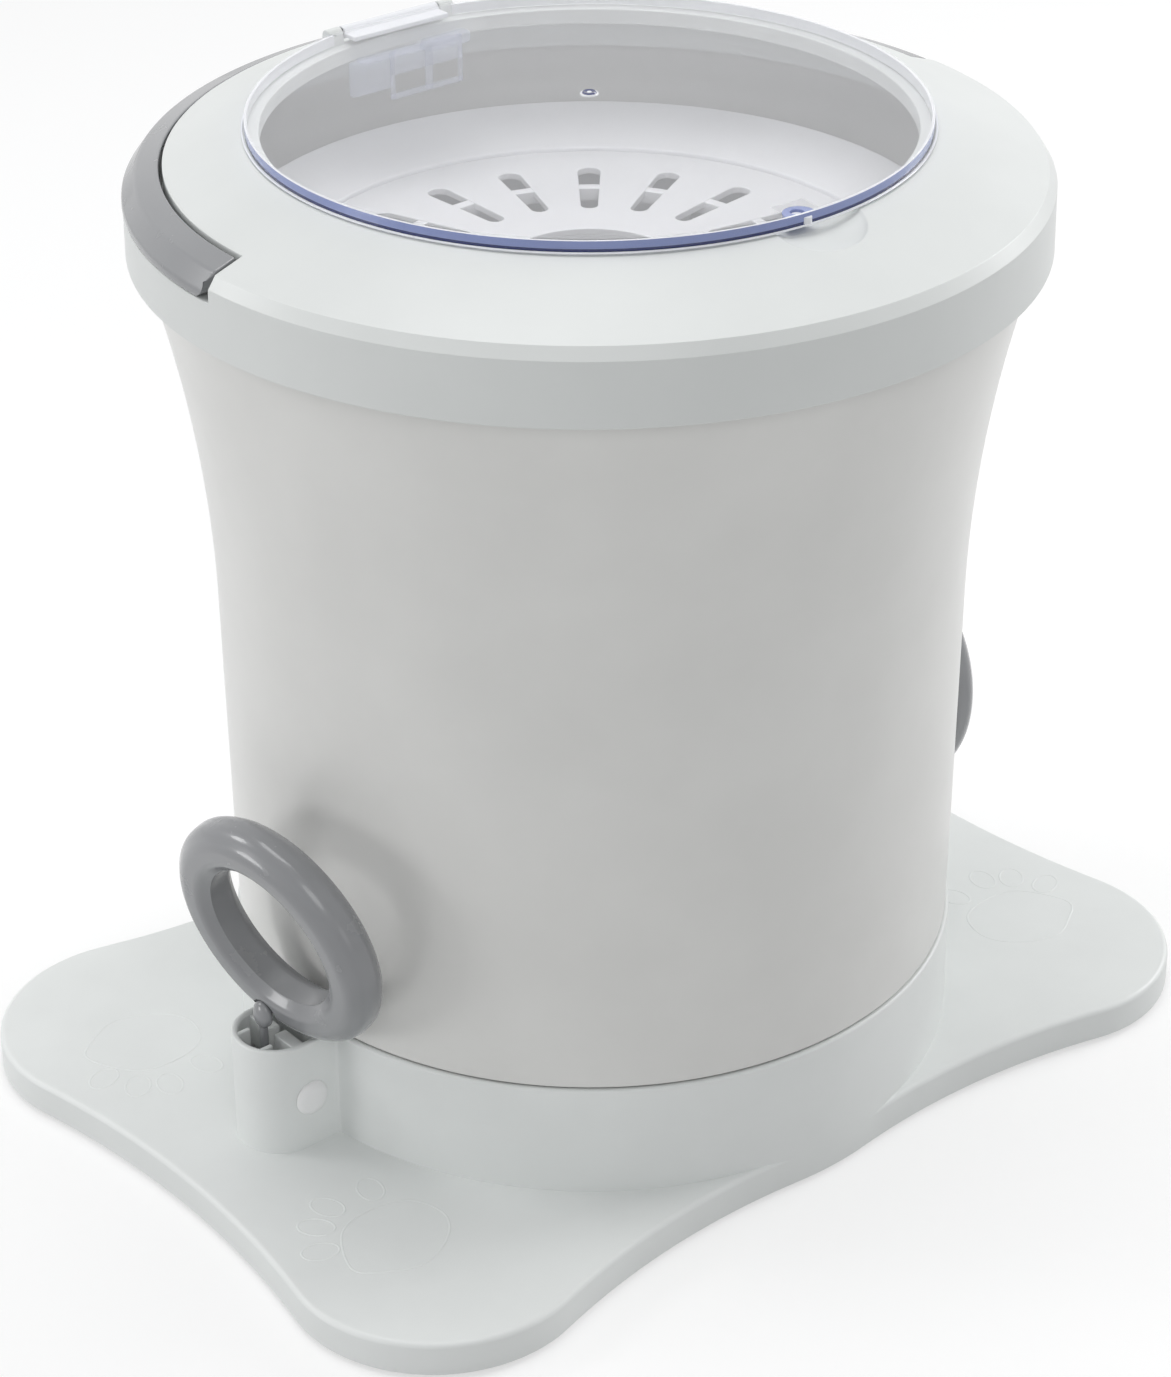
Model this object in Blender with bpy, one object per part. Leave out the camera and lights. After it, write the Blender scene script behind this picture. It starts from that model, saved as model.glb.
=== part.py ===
"""Manual washing machine: a foot-held base, a lift-out tub and a spin basket turned by two pull rings.

The origin lies on the floor under the middle of the base. +X runs through the right pull ring,
+Y through the hinge of the clear lid. All lengths are metres.
"""

import math

import bmesh
import bpy
from mathutils import Matrix, Vector

TURN = 2.0 * math.pi
QUARTER = 0.25 * TURN
HALF = 0.5 * TURN

# Clearances and helpers
SEAT_GAP = 0.0003
RUN_GAP = 0.0004
OVERRUN = 0.004
ROUND_STEPS = 40
MEDIUM_STEPS = 20
SMALL_STEPS = 16
FINE_STEPS = 8

# Base plate outline
LOBE_X = 0.1426
LOBE_Y = 0.0873
LOBE_R = 0.0533
WAIST_RIM = 0.0002
SIDE_R = 0.2865
END_R = 0.376
PLATE_SKIN = 0.003
PLATE_FILLET = 0.002
END_STEPS = 3
LOBE_STEPS = 8
SIDE_STEPS = 4
WAIST_STEPS = 3

# Levels above the floor
FOOT_HEIGHT = 0.0012
PLATE_BOTTOM = FOOT_HEIGHT + SEAT_GAP
PLATE_HEIGHT = 0.0125
PLATE_TOP = PLATE_BOTTOM + PLATE_HEIGHT
COLLAR_HEIGHT = 0.042
COLLAR_TOP = PLATE_TOP + COLLAR_HEIGHT

# Collar that holds the tub
COLLAR_R = 0.1308
WAIST_R = COLLAR_R + WAIST_RIM
COLLAR_WALL = 0.0026
COLLAR_ROUND = 0.0006
LEDGE_WIDTH = 0.0072
LEDGE_THICK = 0.0027
LEDGE_DROP = 0.0183

# Sockets of the pull rings
SOCKET_OUT = 0.0136
SOCKET_LAND = 0.0005
SOCKET_R = 0.0155
SOCKET_WALL = 0.002
SOCKET_PROUD = 0.001
SOCKET_X = COLLAR_R + SOCKET_OUT
SOCKET_INNER_X = COLLAR_R + SOCKET_LAND
RIB_WIDTH = 0.0016
RIB_REACH = 0.0069
RIB_DROP = 0.001

# Pulleys and cords
CORD_R = 0.0012
PULLEY_SETBACK = 0.0030
PULLEY_X = SOCKET_X - PULLEY_SETBACK
PULLEY_HEIGHT = 0.0203
PULLEY_CORD_R = 0.008
PULLEY_FLANGE_R = 0.0093
PULLEY_WIDTH = 0.0068
PULLEY_LIP = 0.0012
PULLEY_HUB_R = 0.0045
PULLEY_AXLE_R = 0.0024
CAP_R = 0.0065
CAP_DOME = 0.0025
CORD_SLOT_WIDTH = 0.009
CORD_SLOT_HEIGHT = 0.006
CORD_TURN_STEPS = 5
CORD_RUN_STEPS = 18

# Cord lugs and pull rings
LUG_WIDTH = 0.010
LUG_THICK = 0.005
LUG_BALL_R = 0.0052
LUG_BALL_HEIGHT = 0.0507
LUG_TAIL_GAP = 0.0005
RING_R = 0.0364
RING_TUBE_R = 0.0084
RING_CUP_SHARE = 0.23
RING_SEAT_ANGLE = math.radians(19.6)
RING_LEAN = {"left": math.radians(13.1), "right": math.radians(2.0)}
RING_ROLL = {"left": math.radians(15.6), "right": math.radians(17.0)}
RING_YAW = {"left": math.radians(6.8), "right": math.radians(6.0)}
RING_STEPS = 32
RING_TUBE_STEPS = 10

# Rope wheel, its axle and its spring
DRUM_CORD_R = 0.024
WHEEL_R = 0.030
GROOVE_WIDTH = 0.0034
GROOVE_FLOOR_GAP = 0.0004
WHEEL_LIP = 0.0015
WHEEL_MID_LIP = 0.001
ARBOR_R = 0.009
AXLE_R = 0.004
AXLE_FLANGE_R = 0.0075
AXLE_FLANGE = 0.0016
DOG_R = 0.0092
DOG_HEIGHT = 0.008
DOG_ROOF = 0.0022
HOUSING_R = 0.038
HOUSING_WALL = 0.002
HOUSING_HEIGHT = 0.0147
SPRING_TURNS = 5
SPRING_THICK = 0.0008
SPRING_WIDTH = 0.008
SPRING_TURN_STEPS = 12

# Tub
TUB_WALL = 0.0026
TUB_FIT = 0.0008
TUB_STEP_OUT = 0.0023
TUB_TAPER = 0.0014
TUB_STRAIGHT = 0.142
TUB_FLARE_R = 0.502
TUB_FLARE = 0.138
TUB_FLARE_STEPS = 3
TUB_STEP_GAP = 0.0008
TUB_STEP = 0.0006
TUB_FLOOR_RISE = 0.008
TUB_FLOOR = 0.003
TUB_RIM_LIP = 0.0125
TUB_BEAD_DROP = 0.005
TUB_BEAD_HEIGHT = 0.0035
TUB_BEAD_PROUD = 0.00226
LEDGE_TOP = COLLAR_TOP - LEDGE_DROP
TUB_BOTTOM = LEDGE_TOP + SEAT_GAP
TUB_FOOT_R = COLLAR_R - COLLAR_WALL - TUB_FIT
TUB_LOW_R = TUB_FOOT_R + TUB_STEP_OUT
TUB_MID_R = TUB_LOW_R + TUB_TAPER
TUB_MID_HEIGHT = TUB_BOTTOM + TUB_STRAIGHT
TUB_FLARE_TOP = TUB_MID_HEIGHT + TUB_FLARE
TUB_RIM_R = TUB_MID_R + TUB_FLARE_R - math.sqrt(TUB_FLARE_R**2 - TUB_FLARE**2)
TUB_RIM_TOP = TUB_FLARE_TOP + TUB_RIM_LIP
TUB_BEAD_R = TUB_RIM_R + TUB_BEAD_PROUD
TUB_BEAD_HIGH = TUB_RIM_TOP - TUB_BEAD_DROP
TUB_BEAD_LOW = TUB_BEAD_HIGH - TUB_BEAD_HEIGHT
TUB_FLOOR_BOTTOM = TUB_BOTTOM + TUB_FLOOR_RISE
TUB_FLOOR_TOP = TUB_FLOOR_BOTTOM + TUB_FLOOR

# Spindle through the tub floor
SPINDLE_R = 0.005
SPINDLE_THREAD = 0.006
BOSS_R = 0.011
BOSS_BORE_R = 0.008
BOSS_DROP = 0.002
BOSS_RISE = 0.009
SEAL_HEIGHT = 0.0024
CUP_R = 0.013
CUP_HEIGHT = 0.0087

# Spin basket
BASKET_ROOM = 0.0091
BASKET_R = TUB_LOW_R - TUB_WALL - BASKET_ROOM
BASKET_WALL = 0.002
BASKET_FLOOR = 0.0025
BASKET_FLOOR_GAP = 0.0006
BASKET_CORNER = 0.005
BASKET_HUB_R = 0.012
BASKET_HUB_HEIGHT = 0.0074
NUT_R = 0.009
NUT_ROOF = 0.002
WALL_SLOT_COUNT = 12
WALL_SLOT_ROWS = 2
WALL_SLOT_WIDTH = 0.006
WALL_SLOT_GAP = 0.030
WALL_SLOT_FOOT = 0.0314
WALL_SLOT_HEAD = 0.0238
FLOOR_SLOT_COUNT = 8
FLOOR_SLOT_HUB = 0.033
FLOOR_SLOT_EDGE = 0.023
FLOOR_SLOT_INNER = BASKET_HUB_R + FLOOR_SLOT_HUB
FLOOR_SLOT_OUTER = BASKET_R - FLOOR_SLOT_EDGE
FLOOR_SLOT_WIDTH = 0.006

# Funnel ring on the basket and the basket's own lid
FUNNEL_PROUD = 0.006
FUNNEL_DROP = 0.015
FUNNEL_THICK = 0.0024
FUNNEL_SPAN = 0.0216
FUNNEL_FALL = 0.0117
SEAT_WIDTH = 0.0049
SEAT_DROP = 0.0026
SEAT_THICK = 0.0022
FUNNEL_R = BASKET_R + FUNNEL_PROUD
FUNNEL_TOP = TUB_RIM_TOP - FUNNEL_DROP
FUNNEL_FOOT_R = FUNNEL_R - FUNNEL_SPAN
FUNNEL_FOOT_TOP = FUNNEL_TOP - FUNNEL_FALL
SEAT_INNER_R = FUNNEL_FOOT_R - SEAT_WIDTH
SEAT_TOP = FUNNEL_FOOT_TOP - SEAT_DROP
BASKET_LID_THICK = 0.0025
FINGER_HOLE_R = 0.0295
FINGER_LIP = 0.0025
FINGER_LIP_DROP = 0.0035
LID_SLOT_COUNT = 18
LID_SLOT_LAND = 0.0185
LID_SLOT_EDGE = 0.0115
LID_SLOT_INNER = FINGER_HOLE_R + LID_SLOT_LAND
LID_SLOT_OUTER = SEAT_INNER_R - LID_SLOT_EDGE
LID_SLOT_INNER_WIDTH = 0.006
LID_SLOT_OUTER_WIDTH = 0.008
LID_SLOT_END_STEPS = 2
LID_RIB_OUT = 0.021
LID_RIB_R = LID_SLOT_INNER + LID_RIB_OUT
LID_RIB_WIDTH = 0.003
LID_RIB_DROP = 0.0025

# Top cover
SKIRT_WALL = 0.0027
SKIRT_TAPER = 0.0007
SKIRT_DROP = 0.0148
SKIRT_RISE = 0.0075
COVER_TURN = math.radians(-1.65)
CHAMFER_WIDTH = 0.0029
CHAMFER_HEIGHT = 0.004
COVER_SKIN = 0.0024
COVER_SPAN = 0.0467
COVER_RISE = 0.0132
LID_SEAT_WIDTH = 0.005
THROAT_DEPTH = 0.0102
THROAT_WALL = 0.0022
SKIRT_R = TUB_BEAD_R + SEAT_GAP + SKIRT_WALL
SKIRT_TOP_R = SKIRT_R - SKIRT_TAPER
SKIRT_BOTTOM = TUB_RIM_TOP - SKIRT_DROP
CHAMFER_LOW = TUB_RIM_TOP + SKIRT_RISE
CHAMFER_R = SKIRT_TOP_R - CHAMFER_WIDTH
CHAMFER_TOP = CHAMFER_LOW + CHAMFER_HEIGHT
THROAT_R = SKIRT_R - COVER_SPAN
LID_SEAT_R = THROAT_R + LID_SEAT_WIDTH
LID_SEAT_TOP = CHAMFER_TOP + COVER_RISE
THROAT_BOTTOM = LID_SEAT_TOP - THROAT_DEPTH
PAD_HALF_ANGLE = math.radians(11.0)
SCOOP_OFFSET = 0.0045
SCOOP_HALF_WIDTH = 0.0195
SCOOP_REACH = 0.012
SCOOP_DEPTH = 0.0035
PAD_WIDTH = 0.013
PAD_OUTER_R = LID_SEAT_R + PAD_WIDTH
PAD_THICK = 0.0065

# Carry handle and the rebate it lies in
REBATE_GAP = 0.0012
REBATE_END = 0.0046
HANDLE_TUCK = 0.0002
HANDLE_WIDTH = 0.013
HANDLE_END = 0.0026
HANDLE_TOP_DROP = 0.0006
HANDLE_PIVOT_Y = 0.004
HANDLE_PIVOT_RISE = 0.0068
REBATE_FLOOR = TUB_RIM_TOP + SEAT_GAP + COVER_SKIN
HANDLE_OUTER_R = SKIRT_R - HANDLE_TUCK
HANDLE_INNER_R = HANDLE_OUTER_R - HANDLE_WIDTH
REBATE_R = HANDLE_INNER_R - REBATE_GAP
HANDLE_PIVOT_Z = REBATE_FLOOR + HANDLE_PIVOT_RISE
HANDLE_HEEL_R = 0.0066
HANDLE_PIN_R = 0.0024
HANDLE_PIN_REACH = 0.0075

# Clear lid and its hinge
LID_PROUD = 0.0003
LID_R = LID_SEAT_R + LID_PROUD
LID_EDGE = 0.0036
LID_FLANGE = 0.0055
LID_BASE = LID_SEAT_TOP + SEAT_GAP
DOME_EDGE_RISE = 0.0047
DOME_RISE = 0.0094
DOME_TOP = LID_SEAT_TOP + DOME_RISE
DOME_THICK = 0.002
DOME_STEPS = 3
NUB_R = 0.0014
NUB_HEIGHT = 0.0004
LID_SKIRT_GAP = 0.0018
LID_SKIRT_R = THROAT_R - LID_SKIRT_GAP
LID_SKIRT_WALL = 0.0022
LID_SKIRT_DROP = 0.0055
HINGE_INSET = 0.001
HINGE_RISE = 0.0034
HINGE_Y = LID_SEAT_R - HINGE_INSET
HINGE_Z = LID_SEAT_TOP + HINGE_RISE
HINGE_BARREL_R = 0.0026
HINGE_PIN_R = 0.0012
HINGE_LID_HALF = 0.0204
HINGE_EAR_WIDTH = 0.006
HINGE_GAP = 0.0005
LID_CHORD_GAP = 0.0002
LID_CHORD_Y = HINGE_Y - HINGE_BARREL_R - LID_CHORD_GAP
HINGE_RELIEF_HALF = 0.034
TAB_WIDTH = 0.014
TAB_X = -0.007
TAB_REACH = 0.0055
TAB_INNER_Y = TAB_REACH - THROAT_R
TAB_DROP = 0.0045

# Feet and screws
FOOT_R = 0.015
SCREW_LOBE_Y = 0.061
SCREW_INSET = 0.019
SCREW_WAIST_Y = WAIST_R - SCREW_INSET
SCREW_BOSS_R = 0.004
SCREW_HOLE_R = 0.0018
SCREW_SHANK_R = 0.0015
SCREW_HEAD_R = 0.0033
SCREW_HEAD_HOLE_R = 0.0036
SCREW_HEAD_DEPTH = 0.0011
COVER_PLATE_THICK = 0.002

# Levels worked out from the sizes above
BOSS_BOTTOM = TUB_FLOOR_BOTTOM - BOSS_DROP
BOSS_TOP = TUB_FLOOR_TOP + BOSS_RISE
PULLEY_Z = PLATE_TOP + PULLEY_HEIGHT
CORD_Z = PULLEY_Z - PULLEY_CORD_R
CORD_X = PULLEY_X + PULLEY_CORD_R
LUG_BALL_Z = PLATE_TOP + LUG_BALL_HEIGHT
LUG_TAIL = PULLEY_Z + PULLEY_FLANGE_R + LUG_TAIL_GAP
COVER_PLATE_TOP = PLATE_BOTTOM + COVER_PLATE_THICK
HOUSING_BOTTOM = COVER_PLATE_TOP + SEAT_GAP
HOUSING_FLOOR = HOUSING_BOTTOM + HOUSING_WALL
HOUSING_TOP = HOUSING_BOTTOM + HOUSING_HEIGHT
GROOVE_OFFSET = 0.5 * (GROOVE_WIDTH + WHEEL_MID_LIP)
WHEEL_BOTTOM = CORD_Z - GROOVE_OFFSET - 0.5 * GROOVE_WIDTH - WHEEL_LIP
WHEEL_TOP = CORD_Z + GROOVE_OFFSET + 0.5 * GROOVE_WIDTH + WHEEL_LIP
DOG_TOP = WHEEL_TOP + DOG_HEIGHT
CUP_TOP = BOSS_BOTTOM - SEAT_GAP
CUP_BOTTOM = CUP_TOP - CUP_HEIGHT
CUP_SOCKET_TOP = DOG_TOP + SEAT_GAP
BASKET_BOTTOM = BOSS_TOP + BASKET_FLOOR_GAP
BASKET_FLOOR_TOP = BASKET_BOTTOM + BASKET_FLOOR
BASKET_HUB_TOP = BASKET_BOTTOM + BASKET_HUB_HEIGHT
SPINDLE_TOP = BASKET_HUB_TOP + SPINDLE_THREAD
FUNNEL_SLOPE = (FUNNEL_TOP - FUNNEL_FOOT_TOP) / (FUNNEL_R - FUNNEL_FOOT_R)
COVER_SLOPE = (LID_SEAT_TOP - CHAMFER_TOP) / (CHAMFER_R - LID_SEAT_R)
BASKET_LID_BOTTOM = SEAT_TOP + SEAT_GAP
BASKET_LID_TOP = BASKET_LID_BOTTOM + BASKET_LID_THICK

SIDES = ((-1.0, "left"), (1.0, "right"))
ENDS = ((1.0, "back"), (-1.0, "front"))

WHITE = (0.83, 0.84, 0.83)
PALE_GREY = (0.62, 0.63, 0.62)
MID_GREY = (0.27, 0.28, 0.28)
CLEAR_BLUE = (0.74, 0.80, 0.93)
STEEL = (0.55, 0.56, 0.57)
BLACK = (0.03, 0.03, 0.03)
CORD_WHITE = (0.80, 0.80, 0.78)


def clear_scene():
    """Removes what the scene holds before the model is built."""
    for old in list(bpy.data.objects):
        bpy.data.objects.remove(old, do_unlink=True)


def make_material(name, color, roughness, metallic=0.0, alpha=1.0):
    """Returns a Principled material."""
    material = bpy.data.materials.new(name)
    material.use_nodes = True
    shader = material.node_tree.nodes["Principled BSDF"]
    shader.inputs["Base Color"].default_value = (*color, 1.0)
    shader.inputs["Roughness"].default_value = roughness
    shader.inputs["Metallic"].default_value = metallic
    shader.inputs["Alpha"].default_value = alpha
    return material


def object_from(name, bm):
    """Makes an object from a bmesh whose faces are turned outward."""
    bmesh.ops.recalc_face_normals(bm, faces=bm.faces)
    mesh = bpy.data.meshes.new(name)
    bm.to_mesh(mesh)
    bm.free()
    item = bpy.data.objects.new(name, mesh)
    bpy.context.scene.collection.objects.link(item)
    return item


def combine(target, tool, operation):
    """Applies a Boolean to the target and deletes the tool."""
    step = target.modifiers.new("combine", "BOOLEAN")
    step.operation = operation
    step.object = tool
    step.solver = "EXACT"
    bpy.context.view_layer.update()
    graph = bpy.context.evaluated_depsgraph_get()
    result = bpy.data.meshes.new_from_object(target.evaluated_get(graph))
    target.modifiers.clear()
    target.data = result
    bpy.data.objects.remove(tool, do_unlink=True)
    return target


def cut(target, tool):
    return combine(target, tool, "DIFFERENCE")


def join(target, tool):
    return combine(target, tool, "UNION")


def keep(target, tool):
    return combine(target, tool, "INTERSECT")


def turned(name, profile, steps=ROUND_STEPS, start=0.0, sweep=TURN):
    """Turns a closed profile of (radius, height) pairs about Z, all the way or through a sweep."""
    bm = bmesh.new()
    full = abs(sweep - TURN) < 0.001
    count = steps if full else max(2, math.ceil(steps * sweep / TURN))
    columns = count if full else count + 1
    rings = []
    for radius, height in profile:
        if radius <= 0.0:
            rings.append([bm.verts.new((0.0, 0.0, height))] * columns)
            continue
        ring = []
        for step in range(columns):
            angle = start + sweep * step / count
            ring.append(bm.verts.new((radius * math.cos(angle), radius * math.sin(angle), height)))
        rings.append(ring)
    for index, ring in enumerate(rings):
        follower = rings[(index + 1) % len(rings)]
        for step in range(count):
            after = (step + 1) % columns
            corners = []
            for vert in (ring[step], ring[after], follower[after], follower[step]):
                if vert not in corners:
                    corners.append(vert)
            if len(corners) > 2:
                bm.faces.new(corners)
    if not full:
        bm.faces.new([ring[0] for ring in rings])
        bm.faces.new([ring[-1] for ring in rings])
    return object_from(name, bm)


def box(name, low, high):
    """Makes a box from its lowest and highest corners."""
    bm = bmesh.new()
    size = Vector(high) - Vector(low)
    middle = (Vector(high) + Vector(low)) / 2.0
    bmesh.ops.create_cube(bm, size=1.0, matrix=Matrix.Translation(middle) @ Matrix.Diagonal((*size, 1.0)))
    return object_from(name, bm)


def rod(name, start, end, radius, steps=SMALL_STEPS, end_radius=None):
    """Makes a round bar between two points."""
    start, end = Vector(start), Vector(end)
    line = end - start
    turn = line.to_track_quat("Z", "Y").to_matrix().to_4x4()
    bm = bmesh.new()
    bmesh.ops.create_cone(
        bm,
        cap_ends=True,
        segments=steps,
        radius1=radius,
        radius2=radius if end_radius is None else end_radius,
        depth=line.length,
        matrix=Matrix.Translation((start + end) / 2.0) @ turn,
    )
    return object_from(name, bm)


def ball(name, center, radii, steps=SMALL_STEPS):
    """Makes a ball with one radius for each axis."""
    bm = bmesh.new()
    place = Matrix.Translation(center) @ Matrix.Diagonal((*radii, 1.0))
    bmesh.ops.create_uvsphere(bm, u_segments=steps, v_segments=steps // 2, radius=1.0, matrix=place)
    return object_from(name, bm)


def prism(name, outline, low, high):
    """Makes an upright prism from an outline of (x, y) pairs."""
    bm = bmesh.new()
    floor = [bm.verts.new((x, y, low)) for x, y in outline]
    roof = [bm.verts.new((x, y, high)) for x, y in outline]
    count = len(outline)
    for index in range(count):
        after = (index + 1) % count
        bm.faces.new((floor[index], floor[after], roof[after], roof[index]))
    bm.faces.new(floor)
    bm.faces.new(roof)
    return object_from(name, bm)


def stacked(name, loops):
    """Skins a chain of equal loops of 3-D points and caps both ends."""
    bm = bmesh.new()
    rings = [[bm.verts.new(point) for point in loop] for loop in loops]
    count = len(rings[0])
    for lower, upper in zip(rings, rings[1:]):
        for index in range(count):
            after = (index + 1) % count
            bm.faces.new((lower[index], lower[after], upper[after], upper[index]))
    bm.faces.new(rings[0])
    bm.faces.new(rings[-1])
    return object_from(name, bm)


def merged(name, items):
    """Joins separate solids that do not touch into one object."""
    bm = bmesh.new()
    for item in items:
        bm.from_mesh(item.data)
        bpy.data.objects.remove(item, do_unlink=True)
    return object_from(name, bm)


def spun(name, item, count):
    """Makes copies of a solid at equal angles about Z as one object."""
    bm = bmesh.new()
    for index in range(count):
        before = len(bm.verts)
        bm.from_mesh(item.data)
        bm.verts.ensure_lookup_table()
        turn = Matrix.Rotation(TURN * index / count, 4, "Z")
        bmesh.ops.transform(bm, matrix=turn, verts=bm.verts[before:])
    bpy.data.objects.remove(item, do_unlink=True)
    return object_from(name, bm)


def arc(center, radius, first, last, steps):
    """Returns the points of an arc from one angle to another, without its last point."""
    points = []
    for step in range(steps):
        angle = first + (last - first) * step / steps
        points.append((center[0] + radius * math.cos(angle), center[1] + radius * math.sin(angle)))
    return points


def plate_outline(inset):
    """Returns the lobed outline of the base, moved inward by the inset."""
    lobe = (LOBE_X, LOBE_Y)
    reach = END_R + LOBE_R
    end = (LOBE_X + math.sqrt(reach**2 - LOBE_Y**2), 0.0)
    side = side_center()
    to_end = math.atan2(LOBE_Y, LOBE_X - end[0])
    lobe_first = to_end - HALF
    lobe_last = math.atan2(side[1] - LOBE_Y, side[0] - LOBE_X)
    side_first = math.atan2(LOBE_Y - side[1], LOBE_X - side[0]) + TURN
    side_last = math.atan2(-side[1], -side[0]) + TURN
    waist_first = math.atan2(side[1], side[0])
    quarter = arc(end, END_R + inset, HALF, to_end, END_STEPS)
    quarter += arc(lobe, LOBE_R - inset, lobe_first, lobe_last, LOBE_STEPS)
    quarter += arc(side, SIDE_R + inset, side_first, side_last, SIDE_STEPS)
    quarter += arc((0.0, 0.0), WAIST_R - inset, waist_first, QUARTER, WAIST_STEPS)
    quarter.append((0.0, WAIST_R - inset))
    left = [(-x, y) for x, y in reversed(quarter[1:-1])]
    upper = quarter + left + [(-quarter[0][0], 0.0)]
    lower = [(x, -y) for x, y in reversed(upper[1:-1])]
    return upper + lower


def side_center():
    """Returns the centre of the hollow arc between the waist and a lobe."""
    lobe = (LOBE_X, LOBE_Y)
    from_waist = WAIST_R + SIDE_R
    from_lobe = LOBE_R + SIDE_R
    gap = math.hypot(*lobe)
    along = (from_waist**2 - from_lobe**2 + gap**2) / (2.0 * gap)
    aside = math.sqrt(from_waist**2 - along**2)
    return (along * lobe[0] - aside * lobe[1]) / gap, (along * lobe[1] + aside * lobe[0]) / gap


def level(outline, height):
    return [(x, y, height) for x, y in outline]


def socket_outline(radius, inner_x, side):
    """Returns the D outline of a ring socket on one side of the base."""
    points = [(inner_x, radius), (inner_x, -radius)]
    points += arc((SOCKET_X, 0.0), radius, -QUARTER, QUARTER, FINE_STEPS)
    points.append((SOCKET_X, radius))
    return [(side * x, y) for x, y in points]


def screw_places():
    """Returns the places of the base screws: one in each lobe and one on each side of the waist."""
    places = [(side * LOBE_X, facing * SCREW_LOBE_Y) for side, _ in SIDES for facing, _ in ENDS]
    return places + [(0.0, facing * SCREW_WAIST_Y) for facing, _ in ENDS]


def make_base_plate():
    """Builds the lobed plate, its collar, ring sockets, tub ledge and screw bosses as one moulding."""
    loops = [
        level(plate_outline(PLATE_SKIN), PLATE_TOP - PLATE_SKIN),
        level(plate_outline(PLATE_SKIN), PLATE_BOTTOM),
        level(plate_outline(0.0), PLATE_BOTTOM),
        level(plate_outline(0.0), PLATE_TOP - PLATE_FILLET),
        level(plate_outline(PLATE_FILLET), PLATE_TOP),
    ]
    plate = stacked("base_plate", loops)
    high = (0.0, 0.0, PLATE_TOP + OVERRUN)
    cut(plate, rod("cutter", (0.0, 0.0, PLATE_BOTTOM), high, HOUSING_R + RUN_GAP, ROUND_STEPS))
    inner = COLLAR_R - COLLAR_WALL
    ledge = inner - LEDGE_WIDTH
    root = PLATE_TOP - 0.5 * PLATE_SKIN
    profile = [
        (inner, COLLAR_TOP),
        (COLLAR_R - COLLAR_ROUND, COLLAR_TOP),
        (COLLAR_R, COLLAR_TOP - COLLAR_ROUND),
        (COLLAR_R, root),
        (inner, root),
        (inner, LEDGE_TOP - LEDGE_THICK),
        (ledge, LEDGE_TOP - LEDGE_THICK),
        (ledge, LEDGE_TOP),
        (inner, LEDGE_TOP),
    ]
    join(plate, turned("collar", profile))
    for side in (1.0, -1.0):
        make_socket(plate, side)
    bosses = []
    for x, y in screw_places():
        boss = rod("boss", (x, y, COVER_PLATE_TOP + SEAT_GAP), (x, y, root), SCREW_BOSS_R, FINE_STEPS)
        bore = rod("bore", (x, y, PLATE_BOTTOM), (x, y, root - 0.5 * PLATE_SKIN), SCREW_HOLE_R, FINE_STEPS)
        bosses.append(cut(boss, bore))
    join(plate, merged("bosses", bosses))
    return plate


def make_socket(plate, side):
    """Adds one ring socket with its guide ribs, axle hole and cord slot."""
    top = COLLAR_TOP + SOCKET_PROUD
    root = PLATE_TOP - 0.5 * PLATE_SKIN
    join(plate, prism("socket", socket_outline(SOCKET_R, COLLAR_R - 0.5 * COLLAR_WALL, side), root, top))
    pocket = socket_outline(SOCKET_R - SOCKET_WALL, SOCKET_INNER_X, side)
    cut(plate, prism("pocket", pocket, PLATE_TOP, top + OVERRUN))
    rim = COLLAR_R - COLLAR_WALL
    over = top + OVERRUN
    cut(plate, turned("tub_room", [(0.0, COLLAR_TOP), (rim, COLLAR_TOP), (rim, over), (0.0, over)]))
    rib_edge = 0.5 * LUG_WIDTH + 2.0 * RUN_GAP + RIB_WIDTH
    wall = SOCKET_X + math.sqrt((SOCKET_R - 0.5 * SOCKET_WALL) ** 2 - rib_edge**2)
    start = SOCKET_X + SOCKET_R - SOCKET_WALL - RIB_REACH
    for hand in (1.0, -1.0):
        y = hand * (0.5 * LUG_WIDTH + 2.0 * RUN_GAP + 0.5 * RIB_WIDTH)
        low = (min(side * start, side * wall), y - 0.5 * RIB_WIDTH, root)
        high = (max(side * start, side * wall), y + 0.5 * RIB_WIDTH, top - RIB_DROP)
        join(plate, box("rib", low, high))
    hole_y = SOCKET_R + OVERRUN
    axle_r = PULLEY_AXLE_R + RUN_GAP
    near_end = (side * PULLEY_X, -hole_y, PULLEY_Z)
    cut(plate, rod("hole", near_end, (side * PULLEY_X, hole_y, PULLEY_Z), axle_r))
    entry = cord_aim(side, COLLAR_R)
    half = 0.5 * CORD_SLOT_WIDTH
    near = side * (COLLAR_R - COLLAR_WALL - OVERRUN)
    far = side * (SOCKET_INNER_X + OVERRUN)
    low = (min(near, far), entry.y - half, CORD_Z - 0.5 * CORD_SLOT_HEIGHT)
    high = (max(near, far), entry.y + half, CORD_Z + 0.5 * CORD_SLOT_HEIGHT)
    cut(plate, box("slot", low, high))


def cord_aim(side, distance):
    """Returns the cord's point at a distance from the middle on its run from the pulley to the drum."""
    start = Vector((side * PULLEY_X, 0.0, CORD_Z))
    end = drum_touch(side)
    share = (PULLEY_X - distance) / (PULLEY_X - abs(end.x))
    return start.lerp(end, share)


def drum_touch(side):
    """Returns the point where a cord leaves the drum, as a tangent towards its pulley."""
    angle = math.acos(DRUM_CORD_R / PULLEY_X)
    heading = (HALF if side < 0.0 else 0.0) - angle
    height = CORD_Z - side * GROOVE_OFFSET
    return Vector((DRUM_CORD_R * math.cos(heading), DRUM_CORD_R * math.sin(heading), height))


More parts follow.
